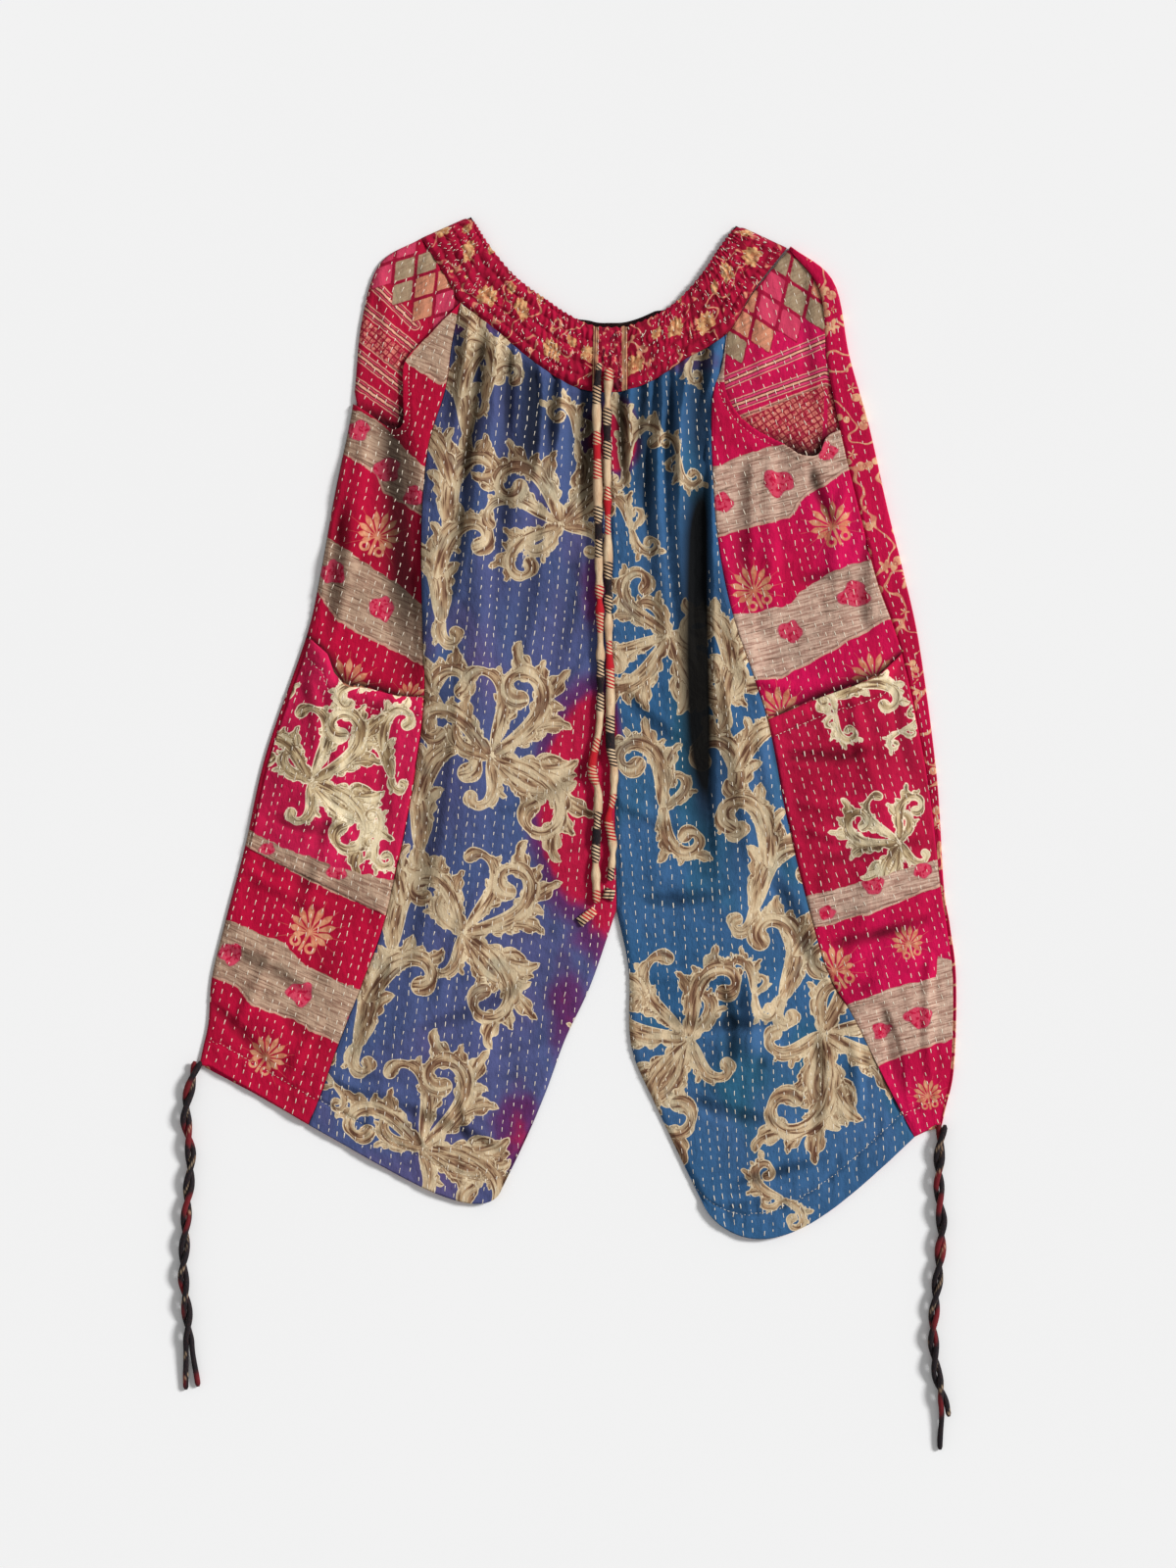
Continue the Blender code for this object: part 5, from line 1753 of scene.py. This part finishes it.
def yoke_fields(leg, points):
    """The diamonds and their colours, the striped bands, the net and its threads."""
    rough = points + 0.35 * noise(points, 2.2, 6)[..., None]
    d = DIAMONDS[leg]
    local = turned(rough - (d.x, d.y), d.turn) / (d.half_width, d.half_height)
    one, other = 0.5 * (local[..., 1] + local[..., 0]), 0.5 * (local[..., 1] - local[..., 0])
    row, column = np.round(one) + np.round(other), np.round(one) - np.round(other)
    depth = 1 - 2 * np.maximum(np.abs(one - np.round(one)), np.abs(other - np.round(other)))
    diamond = np.where((row >= 0) & (row < d.rows), 8.2 * depth - 1.0, UNPRINTED)
    stripe = blank(points)
    across = np.zeros(points.shape[:-1])
    for s in STRIPES[leg]:
        away, side, *_ = foot_on(rough, [(s.x0, s.y0), (s.x1, s.y1)])
        across = np.where(s.half_width - away > stripe, away * side, across)
        stripe = np.maximum(stripe, s.half_width - away)
    weave = turned(rough, NET_TURN[leg])
    return {
        "diamond": diamond, "kind": np.round(row + column + (row > 1)) % 3,
        "stripe": stripe, "across": across,
        "lattice": np.max([inside(rough, outline) for outline in LATTICES[leg]], axis=0),
        "weft": weave[..., 1], "warp": weave[..., 0],
    }


def head_fields(along_band, across_band):
    """Coordinates about the flower heads of the waistband, in four sizes by turns."""
    heads = []
    for k in range(int(along_band.max() / HEAD_PITCH) + 2):
        up, size, turn = HEADS[k % len(HEADS)]
        heads.append((HEAD_PITCH * k + 3 * math.sin(5.0 * k), up, size, turn))
    return flower_fields("head", np.stack([along_band, across_band], axis=-1), heads, 0.8)


# ---- Panels ----

# A made panel: its piece, the grid it was made on and its lines of stitches.
Panel = namedtuple("Panel", "piece plan seams")


def edge_dip(distance, depth=0.9, reach=3.6):
    """The cloth dips towards a seam."""
    return -depth * bell(distance / reach)


def border_distances(plan):
    """How far a grid's points are from its first and last columns and rows, along the grid."""
    found = []
    for axis in (1, 0):
        steps = np.linalg.norm(np.diff(plan, axis=axis), axis=2)
        pad = [(0, 0), (0, 0)]
        pad[axis] = (1, 0)
        run = np.cumsum(np.pad(steps, pad), axis=axis)
        found += [run, np.take(run, [-1], axis=axis) - run]
    return found


def panel_grid(name, plan_of, leg, start, end, columns=(0, 1)):
    """A grid on a panel: places across it and rows down it."""
    layout = LAYOUTS[name]
    rows = even_rows(lambda row: plan_of(leg, np.full(len(row), 0.5), row), start, end, layout.spacing)
    return np.meshgrid(np.linspace(*columns, int(layout.width / layout.spacing)), rows)


def hem_relief(hem, plan, from_hem):
    """The puckers round the line of stitches above a hem, and the dip along it."""
    off = from_hem - hem.line
    puckers = noise(plan * (1.0, hem.stretch), hem.size, hem.seed)
    return hem.height * puckers * np.exp(-((off / hem.reach) ** 2)) - hem.dip * bell(off / HEM_LINE_REACH)


def shirred(along_waist, from_top, kind):
    """Small gathers that run down from the waistband and fade."""
    wave = np.cos(math.tau * along_waist / kind.pitch)
    return kind.height * wave * np.exp(-from_top / kind.reach)


def level_line(plan, distance, level):
    """The line of a grid's points at a distance from its first or last row."""
    row = np.abs(distance - level).argmin(axis=0)
    return plan[row, np.arange(plan.shape[1])][2:-2]


def make_front(leg):
    """A front panel, gathered and shirred at the waist."""
    name = f"front_{leg}"
    across, row = panel_grid(name, front_plan, leg, 0, HEM_ROW)
    plan = eased(front_plan(leg, across, row))
    from_seam, from_inner, from_top, from_hem = border_distances(plan)
    high = skin(plan) + gathers(leg, across, row) + creased(plan, CREASES[name])
    high += ripples(plan, LAYOUTS[name].seed)
    wander = 8 * noise(plan * (1, 0.4), 24, 31)
    high += shirred(from_seam + wander, from_top, FRONT_SHIRRING)
    high += hem_relief(FRONT_HEM, plan, from_hem)
    high += edge_dip(from_seam) + edge_dip(from_top, 1.4, 5)
    high += np.where(row < CROTCH_ROW, edge_dip(from_inner, 1.3, 5), 0)
    top = np.maximum(high, 0.5) * roll(plan) + WALL
    shade = shaded(plan, CREASES[name], top)
    fields = {**engraved_fields(name, plan), "bleed": dye_field(name, plan), "shade": shade}
    return Panel(shell(name, plan, top, fields), plan, [level_line(plan, from_hem, FRONT_HEM.line)])


def mouth_line(leg, count=40, margin=0.0):
    """The scooped mouth, from the seam at the waist to the outer edge."""
    last = len(MOUTHS[leg]) - 1
    return along(MOUTHS[leg], np.linspace(margin, last - margin, count))


def mouth_outline(leg):
    """What is cut away above the scooped mouth."""
    return np.vstack([mouth_line(leg, 6 * len(MOUTHS[leg])), MOUTH_CUT_CORNERS[leg]])


def side_top(leg, plan):
    """Height of the top of a side panel, for points anywhere on it."""
    name = f"side_{leg}"
    high = skin(plan) + creased(plan, CREASES[name]) + ripples(plan, LAYOUTS[name].seed)
    seam = section(leg, np.linspace(0, HEM_ROW, 60))[2]
    high += edge_dip(distance_to(plan, seam))
    gape = np.linalg.norm(plan - MOUTH_GAPE_AT[leg], axis=-1)
    high += MOUTH_GAPE * bell(gape / MOUTH_GAPE_REACH)
    hem = hip_plan(leg, np.linspace(0, 1, 12), np.full(12, HEM_ROW))
    high += hem_relief(SIDE_HEM, plan, distance_to(plan, hem))
    from_mouth = distance_to(plan, mouth_line(leg))
    high += ridges(from_mouth, *MOUTH_RIDGES)
    return np.maximum(high, 0.5) * roll(plan, leg) + WALL


def pocket_mouth(leg):
    """The hanging edge of a cargo pocket's mouth, from the seam to the outer fold."""
    across = np.linspace(0, 1, 24)
    line = hip_plan(leg, across, np.full(24, float(POCKET_ROWS[0])))
    line[:, 1] -= np.interp(across, *np.transpose(POCKET_SAG[leg]))
    return line


def make_side(leg):
    """A side panel, cut along the scooped mouth, with painted shade inside the cargo pocket's mouth."""
    name = f"side_{leg}"
    sign = {"left": 1, "right": -1}[leg]
    plan = eased(hip_plan(leg, *panel_grid(name, hip_plan, leg, 0, HEM_ROW)))
    distance, side, place, _ = foot_on(plan, pocket_mouth(leg))
    # Painted shade on the side panel in the gap inside the cargo pocket's mouth.
    gap = np.interp(place, *np.transpose(POCKET_GAP_SHADE_WIDTHS))
    dark = MOUTH_GAP_SHADE * np.exp(-((distance / gap) ** 2)) * (side == -sign)
    shade = np.maximum(shaded(plan, CREASES[name], side_top(leg, plan)), dark)
    fields = {**side_fields(leg, plan), "shade": shade}
    piece = cut_shell(name, plan, lambda points: side_top(leg, points), mouth_outline(leg), fields)
    edge = mouth_line(leg, 60, 0.2)
    outward = unit(np.gradient(edge, axis=0)[:, ::-1] * (-1, 1))
    hem = level_line(plan, border_distances(plan)[3], SIDE_HEM.line)
    return Panel(piece, plan, [edge + sign * MOUTH_STITCH * outward, hem])


def make_cargo_pocket(leg):
    """A patch on the side panel. Its mouth hangs down a little and stands off."""
    name = f"cargo_pocket_{leg}"
    first, last = POCKET_ROWS
    columns = POCKET_COLUMNS[leg]
    across, row = panel_grid(name, hip_plan, leg, first, last, columns)
    plan = hip_plan(leg, across, row)
    share = (across - columns[0]) / (columns[1] - columns[0])
    hang = np.interp(share[0], *np.transpose(POCKET_SAG[leg]))
    plan[..., 1] -= hang * np.clip(1 - (row - first) / POCKET_HANG_ROWS, 0, 1) ** 0.8
    from_seam, from_outer, from_top, from_low = border_distances(plan)
    gape = POCKET_GAPE * np.exp(-((from_top / POCKET_GAPE_REACH) ** 1.6))
    gape *= bell((share - POCKET_GAPE_MIDDLE) / 0.5)
    edge = np.minimum(np.minimum(from_seam, from_outer), from_low)
    below = side_top(leg, plan)
    top = below + 0.5 + POCKET_SWELL * smooth_step(0, POCKET_SWELL_REACH, edge) + gape
    top += creased(plan, CREASES[name]) + 0.5 * ripples(plan, LAYOUTS[name].seed)
    top += ridges(from_top, *POCKET_RIDGES) + hem_relief(POCKET_MOUTH_HEM, plan, from_top)
    top += edge_dip(edge, 0.6, 4)
    low = below + 0.15 + gape * 0.7
    top = np.maximum(top, low + 0.8)
    # Painted shade in the groove of the pocket's hem, and a painted highlight along its lip.
    shade = np.maximum(shaded(plan, CREASES[name], top), ridges(from_top, POCKET_HEM_SHADE))
    shade -= ridges(from_top, POCKET_LIP_LIGHT)
    fields = {**engraved_fields(name, plan), **band_fields(leg, plan), "shade": shade}
    piece = shell(name, plan, top, fields, low=low)
    return Panel(piece, plan, [level_line(plan, from_top, POCKET_HEM)])


def make_yoke(leg):
    """The hip panel that shows inside the scooped mouth, and ends under the side panel."""
    name = f"yoke_{leg}"
    across, row = panel_grid(name, hip_plan, leg, 0, YOKE_END_ROW)
    if leg == "left":
        across = across * (1 - YOKE_TUCK * np.clip((row - 2.85) / 0.15, 0, 1))
    plan = eased(hip_plan(leg, across, row))
    from_seam, _, from_top, _ = border_distances(plan)
    level = skin(plan) - YOKE_DROP
    high = level + creased(plan, CREASES[name]) + 0.45 * ripples(plan, LAYOUTS[name].seed)
    high += edge_dip(from_seam, 0.6) + edge_dip(from_top, 0.8, 5)
    high += shirred(from_seam, from_top, HIP_SHIRRING)
    covered = inside(plan, mouth_outline(leg)) < MOUTH_OVERLAP
    high = np.where(covered, np.minimum(high, level), high)
    top = np.maximum(high, 0.4) * roll(plan, leg) + WALL
    highest = np.maximum(side_top(leg, plan) - 2.0, CLOTH + 0.2)
    top = np.where(covered, np.minimum(top, highest), top)
    low_point = bell(np.linalg.norm(plan - MOUTH_GAPE_AT[leg], axis=-1) / MOUTH_SHADE_REACH)
    from_mouth = distance_to(plan, mouth_line(leg))
    cast = (0.4 + 0.64 * low_point) * np.exp(-((from_mouth / (3.5 + 7 * low_point)) ** 2))
    fields = {**yoke_fields(leg, plan), "shade": np.maximum(hollows(top), cast)}
    return Panel(shell(name, plan, top, fields), plan, [])


# ---- Waistband ----


def band_plan(start, end, spacing):
    """A grid on the waistband: rows across it and columns along it."""
    places = even_rows(lambda place: along(WAIST_LOW, place), start, end, spacing)
    shares = np.linspace(0, 1, int(BAND_DEPTH / spacing))
    low, top = along(WAIST_LOW, places)[:, None], along(WAIST_TOP, places)[:, None]
    return low + (top - low) * shares[None, :, None]


def smocked(plan, along_band, share):
    """Puffs between the rows of elastic, out of step from row to row."""

    def uneven(across, size, seed):
        return noise(np.stack([along_band, across], axis=-1), size, seed)

    rows = ELASTIC_ROWS * share + 0.12 * uneven(0 * share, 20, 70)
    row = np.floor(rows)
    puff = np.sin(math.pi * (rows - row)) ** 0.6
    wander = 7.0 * uneven(37 * row, 12, 71) + 2.0 * uneven(BAND_DEPTH * share, 6, 74)
    wave = PUFF_GATHER * np.cos(math.tau * (along_band + wander) / PUFF_GATHER_PITCH)
    broad = uneven(BAND_DEPTH * share, 10, 75)
    gathered = (wave + broad) * (0.4 + 0.6 * puff)
    return PUFF_BASE + PUFF_HEIGHT * puff + gathered + 0.5 * noise(plan, 4.4, 72)


def make_band(name, start, end):
    """A smocked length of the waistband, with its outer corner drawn in."""
    plan = band_plan(start, end, BAND_SPACING)
    from_low, from_top, from_start, from_end = border_distances(plan)
    path = along(WAIST_LOW, np.linspace(0, len(WAIST) - 1, 400))
    before = path_length(path)[int(399 * start / (len(WAIST) - 1))]
    along_band = np.repeat(from_start[:, :1] + before, plan.shape[1], axis=1)
    share = from_low / (from_low + from_top)
    scallop = SCALLOP_DEPTH * np.cos(math.tau * along_band / SCALLOP_PITCH)
    scallop *= smooth_step(0.85, 1, share)
    outward = unit(plan[:, -1] - plan[:, 0])[:, None]
    plan = plan + outward * scallop[..., None]
    if name == "waistband_placket":
        dip = 0.7 * bell(np.minimum(from_start, from_end) / 2)
    else:
        leftmost = start == WAIST_END["left"]
        corner, sewn = (from_start, from_end) if leftmost else (from_end, from_start)
        round_corner = 1 - np.sqrt(1 - np.clip(1 - corner / CORNER_LENGTH, 0, 1) ** 2)
        drawn_in = CORNER_DRAWN_IN * round_corner * share**2
        plan = plan - outward * drawn_in[..., None]
        dip = bell(sewn / 3)
    high = smocked(plan, along_band, share)
    high -= 1.6 * bell(from_low / 4) + bell(from_top / 2.5) + dip
    lift = roll(plan)
    top = SKIN_BASE * lift + WALL + np.maximum(high - 2.2, 0.2) * (0.25 + 0.75 * lift)
    # Painted shade in the hollows and in the grooves along the rows of elastic.
    elastic = 0.5 + 0.5 * np.cos(math.tau * ELASTIC_ROWS * share)
    fields = {
        **head_fields(along_band, from_low - 0.5 * BAND_DEPTH),
        "shade": np.maximum(1.1 * hollows(top, 4), 0.2 * elastic**6),
        "edge": np.minimum(from_start, from_end),
    }
    return Panel(shell(name, plan, top, fields, low=np.maximum(SKIN_BASE * lift, LOWEST)), plan, [])


def make_band_back():
    """The back of the band, which shows as a sliver above the middle of the front."""
    start, end = WAIST_END["left"], WAIST_END["right"]
    plan = band_plan(start, end, BAND_BACK_SPACING)
    places = np.linspace(start, end, len(plan))
    middle = smooth_step(1.5, 0.9, np.abs(places - WAIST_CENTRE - 0.1))
    share = np.linspace(0, 1, plan.shape[1])
    plan[..., 1] += 4.0 * middle[:, None] * smooth_step(0.6, 1, share)
    plan = eased(plan, top=BACK_INSET + 1, bottom=BACK_INSET + 1)
    _, _, from_start, _ = border_distances(plan)
    ruffle = np.cos(math.tau * from_start / SCALLOP_PITCH)
    across_band = np.broadcast_to(BAND_DEPTH * (share - 0.5), from_start.shape)
    # Painted shade: the sliver inside the back band is made nearly black.
    fields = {**head_fields(from_start, across_band), "shade": np.full(ruffle.shape, DARK_INSIDE)}
    low, top = 0.5 + 0.4 * ruffle, 1.7 + 0.125 * ruffle
    return Panel(shell("waistband_back", plan, top, fields, low=low, coarse=1), None, None)


# ---- Back panels ----


def back_plan(leg, row, count):
    """Points of a back panel's rows, its fold, and the direction inwards from the fold."""
    fold, side, seam, _ = section(leg, row)
    inward = unit(seam - fold)
    outer = hip_plan(leg, np.ones(len(row)), row) + (fold - side)
    middle = 0.5 * (hip_plan(leg, np.full(len(row), 0.5), row) + 0.5 * (outer + seam))
    inner, *fronts = (front_plan(leg, np.full(len(row), a), row) for a in (1, 0.9, 0.8, 0.6, 0.4, 0.2, 0))
    inset = np.where(row < CROTCH_ROW - 0.15, 0.3, BACK_INSET)[:, None]
    inner = inner + unit(fronts.pop(0) - inner) * inset
    stack = np.stack([inner, *fronts, middle, outer + inward * BACK_REACH[leg]])
    places = np.linspace(0, len(stack) - 1, count)
    k = np.minimum(places.astype(int), len(stack) - 2)
    t = (places - k)[:, None, None]
    plan = (stack[k] * (1 - t) + stack[k + 1] * t).transpose(1, 0, 2)
    plan[0] += unit(plan[1] - plan[0]) * BACK_TOP_GAP
    return plan, outer, inward


def turned_strip(fold, inward, wide):
    """Outer and inner points of the right back, round its fold and on as a strip on the front."""

    def line(distance, height):
        return raised(fold + inward * distance[:, None], height)

    crest = skin(fold + inward * TURN_REACH) + WALL
    outer, inner = [], []
    for turn in np.linspace(0, math.pi, 9):
        distance = np.full(len(fold), TURN_REACH * (1 - math.sin(turn)))
        rise = 0.5 * (1 - math.cos(turn))
        outer.append(line(distance, TURN_LOW + (crest - TURN_LOW) * rise))
        inside_height = TURN_LOW_INSIDE + (crest - CLOTH - TURN_LOW_INSIDE) * rise
        inner.append(line(distance + CLOTH, inside_height))
    for share in np.linspace(0.15, 1, 7):
        distance = TURN_REACH + (wide - TURN_REACH) * share
        place = fold + inward * distance[:, None]
        height = skin(place) + WALL + 0.5 * ripples(place, 82)
        height -= 0.9 * bell((1 - share) * (wide - TURN_REACH) / 3.0)
        outer.append(line(distance, np.maximum(height, STRIP_LOW)))
        inside_height = np.maximum(height - CLOTH, STRIP_LOW_INSIDE)
        inner.append(line(np.maximum(distance, STRIP_INSIDE_START), inside_height))
    return np.stack(outer, axis=1), np.stack(inner, axis=1)


def make_back(leg):
    """A flat panel. On the right it turns round the outer fold and ends as a strip on the front."""
    name = f"back_{leg}"
    layout = LAYOUTS[name]
    rows = even_rows(lambda row: section(leg, row)[2], 0, HEM_ROW, layout.spacing)
    plan, fold, inward = back_plan(leg, rows, int(layout.width / layout.spacing))
    rough = noise(plan, 16, layout.seed) + 0.5 * noise(plan, 8, layout.seed + 1)
    low, top = BACK_LOW + BACK_ROUGH * rough, np.full(rough.shape, BACK_TOP)
    if leg == "left":
        fields = {"shade": np.clip(-0.4 * rough, 0, 1)}
        return Panel(shell(name, plan, top, fields, low=low, coarse=1), plan, [])
    outer_fold, side, _, _ = section(leg, rows)
    wide = np.maximum(np.linalg.norm(side - outer_fold, axis=1), 2.8) - 0.15
    outer, inner = turned_strip(fold, inward, wide)
    outer = np.concatenate([raised(plan, low), outer], axis=1)
    inner = np.concatenate([raised(plan, top), inner], axis=1)
    quads = grid_quads(np.arange(outer.size // 3).reshape(outer.shape[:2]))
    fields = {"shade": np.zeros(outer.shape[:2])}
    piece = close_layers(name, quads, outer.reshape(-1, 3), inner.reshape(-1, 3), fields)
    seams = [(fold + inward * (wide * share)[:, None])[8:-60] for share in (0.35, 0.72)]
    return Panel(piece, plan, seams)


# ---- Hand stitching ----

# Stitches: the pitch along their line, and each one's length and width.
BY_HAND = (7.8, 4.1, 0.9)
BY_MACHINE = (3.4, 2.0, 0.6)
SHIRRED = (2.8, 0.7)
ROW_GAP = 7.9
# How many stitches there are to a row of the waistband's grid.
SHIRRED_SHARE = 1.5
# A stitch is left out where its ends differ by more in height, and in the deepest pleats.
STEEP = 2.2
STEEP_SHIRRED = 4.0
DEEPEST_PLEAT = -8


def stitch_rows(plan, angle, seed):
    """Places and directions of running stitches in rows along a direction."""
    pitch = BY_HAND[0]
    low, high = plan.reshape(-1, 2).min(0), plan.reshape(-1, 2).max(0)
    centre = 0.5 * (low + high)
    reach = 0.5 * float(np.linalg.norm(high - low)) + 10
    draw = np.random.default_rng(seed)
    c, s = direction(angle)
    places, turns = [], []
    for k in range(int(-reach / ROW_GAP), int(reach / ROW_GAP) + 1):
        run = np.arange(-reach, reach, pitch) + draw.uniform(0, pitch)
        run = run + draw.normal(0, 0.7, len(run))
        wander = noise(np.stack([run, np.full(len(run), k * 37.0)], 1), 60, 5)
        off = k * ROW_GAP + draw.normal(0, 0.5) + 1.6 * wander
        off = off + draw.normal(0, 0.18, len(run))
        place = centre + np.stack([run * c - off * s, run * s + off * c], 1)
        keep = np.all((place > low) & (place < high), axis=1)
        places.append(place[keep])
        turns.append(angle + draw.normal(0, 5, keep.sum()))
    return np.concatenate(places), np.concatenate(turns)


def in_open(places, name):
    """Which places lie outside the deepest pleats, where no stitch shows."""
    hidden = np.zeros(len(places), bool)
    for crease in CREASES.get(name, []):
        if crease.height < DEEPEST_PLEAT:
            near, share = crease_shares(places, crease)
            hidden[near] |= share > 0.4
    return ~hidden


def scattered(plan, seed):
    """Short stitches all over the shirred waistband, most of them across it."""
    draw = np.random.default_rng(seed)
    rows, columns = plan.shape[:2]
    count = int(SHIRRED_SHARE * rows)
    row, column = draw.integers(1, rows - 1, count), draw.integers(1, columns - 1, count)
    across = (plan[:, -1] - plan[:, 0])[row]
    turns = np.degrees(np.arctan2(across[:, 1], across[:, 0])) + draw.normal(0, 28, count)
    return plan[row, column], turns


def line_stitches(line, pitch):
    """Places and directions of even stitches along a line."""
    length = path_length(line)
    stops = np.arange(1, length[-1], pitch)
    places = at_stops(line, length, stops)
    ahead = at_stops(line, length, stops + 0.5)
    return places, np.degrees(np.arctan2(*(ahead - places).T[::-1]))


def thread_ridges(piece, places, turns, size, seed, below=False, steep=STEEP):
    """Points and faces of threads that lie on a piece's surface: a small ridge for each stitch."""
    mesh = piece.data
    tree = BVHTree.FromPolygons([v.co for v in mesh.vertices], [tuple(p.vertices) for p in mesh.polygons])
    draw = np.random.default_rng(seed + 7)
    points, faces = [], []
    way = Vector((0, 0, 1 if below else -1))
    start = (-10 if below else 50) * MM
    rise = (0.2 if below else 0.35) * MM

    def surface(x, y):
        hit, normal, _, _ = tree.ray_cast(Vector((x * MM, y * MM, start)), way)
        return (hit, normal) if hit and abs(normal.z) > 0.4 else None

    for (x, y), turn in zip(places, turns):
        half = 0.5 * size[0] * draw.uniform(0.55, 1.2)
        wide = 0.5 * size[1] * draw.uniform(0.8, 1.15)
        c, s = direction(turn)
        ends = [surface(x + k * half * c, y + k * half * s) for k in (-1, 1)]
        if None in ends or abs(ends[0][0].z - ends[1][0].z) > steep * MM:
            continue
        base = len(points)
        for (hit, normal), k in zip(ends, (-1, 1)):
            side = Vector((-s, c, 0)) * wide * MM
            up = normal * rise
            inward = Vector((c, s, 0)) * (-k * 0.5 * MM)
            points += [hit - side - up * 0.5, hit + side - up * 0.5, hit + inward + up]
        a, b, t, d, e, u = range(base, base + 6)
        faces += [(a, d, u, t), (e, b, t, u), (b, a, t), (d, e, u), (a, b, e, d)]
    return points, [face[::-1] for face in faces] if below else faces


def stitched_piece(seed, name, panel, thread):
    """All the stitches of a panel as one piece. The back panels' rows are on their underside."""
    piece, plan, seams = panel
    on_back = name.startswith("back")
    if name in LAYOUTS:
        places, turns = stitch_rows(plan, LAYOUTS[name].stitch_turn, seed)
        shown = in_open(places, name)
        parts = [thread_ridges(piece, places[shown], turns[shown], BY_HAND[1:], seed, on_back)]
    else:
        parts = [thread_ridges(piece, *scattered(plan, seed), SHIRRED, seed, steep=STEEP_SHIRRED)]
    pitch, *size = BY_HAND if on_back else BY_MACHINE
    parts += [thread_ridges(piece, *line_stitches(seam, pitch), size, seed) for seam in seams]
    points, faces = [], []
    for part_points, part_faces in parts:
        faces += [tuple(corner + len(points) for corner in face) for face in part_faces]
        points += [tuple(point / MM) for point in part_points]
    stitches = new_piece(f"{name}_kantha", points, faces, sewn_to=name)
    stitches.data.materials.append(thread)
    return stitches


# ---- Surroundings ----

FLOOR_HALF = 30000
FLOOR_LEVEL = -0.4
SUN_FROM = (1.0, 0.45, 0.72)
SUN_STRENGTH = 3.4
SUN_WIDTH_DEGREES = 14
SKY_STRENGTH = 0.40


def floor_material():
    """Pale grey, with very faint clouds."""
    cloth = Cloth("pale_floor", 0.9, 0.0)
    colour = dye(243, 243, 243)
    darker = (*[0.985 * share for share in colour[:3]], 1)
    return cloth.wear_colour(cloth.mix(cloth.noise(400), colour, darker))


def make_stage():
    """A pale floor, a soft sun from the upper right and a white sky."""
    mesh = bpy.data.meshes.new("floor")
    signs = ((-1, -1), (1, -1), (1, 1), (-1, 1))
    corners = [Vector((x * FLOOR_HALF, y * FLOOR_HALF, FLOOR_LEVEL)) * MM for x, y in signs]
    mesh.from_pydata(corners, [], [(0, 1, 2, 3)])
    mesh.materials.append(floor_material())
    floor = bpy.data.objects.new("floor", mesh)
    sun = bpy.data.objects.new("soft_sun", bpy.data.lights.new("soft_sun", "SUN"))
    sun.data.energy = SUN_STRENGTH
    sun.data.angle = math.radians(SUN_WIDTH_DEGREES)
    sun.rotation_euler = (-Vector(SUN_FROM)).to_track_quat("-Z", "Y").to_euler()
    for item in (floor, sun):
        bpy.context.scene.collection.objects.link(item)
    world = bpy.data.worlds.new("studio")
    world.use_nodes = True
    background = world.node_tree.nodes["Background"].inputs
    background[0].default_value = (1, 1, 1, 1)
    background[1].default_value = SKY_STRENGTH
    bpy.context.scene.world = world
    bpy.context.scene.view_settings.view_transform = "Standard"


# The stretches of the waistband, each as the places along its lower edge where it starts and ends.
BAND_SPANS = {
    "waistband_front_left": (WAIST_END["left"], PLACKET[0]),
    "waistband_placket": PLACKET,
    "waistband_front_right": (PLACKET[1], WAIST_END["right"]),
}


def make_panels():
    """All the panels, each under its name and in its own cloth."""
    panels = {}

    def add(name, panel, material):
        panel.piece.data.materials.append(material)
        panels[name] = panel

    for leg in STATIONS:
        add(f"front_{leg}", make_front(leg), front_material(leg))
        add(f"side_{leg}", make_side(leg), side_material(leg))
        add(f"cargo_pocket_{leg}", make_cargo_pocket(leg), pocket_material(leg))
        add(f"yoke_{leg}", make_yoke(leg), yoke_material(leg))
        add(f"back_{leg}", make_back(leg), vine_material(f"printed_vine_{leg}"))
    for name, span in BAND_SPANS.items():
        add(name, make_band(name, *span), band_material(name))
    add("waistband_back", make_band_back(), band_material("waistband_back"))
    return panels


def main():
    """Puts the joggers together, and sets the surroundings."""
    make_camera()
    make_cords()
    panels = make_panels()
    thread = thread_material()
    sewn = [name for name, panel in panels.items() if panel.plan is not None]
    stitches = {name: stitched_piece(seed, name, panels[name], thread) for seed, name in enumerate(sewn)}
    make_stage()


main()
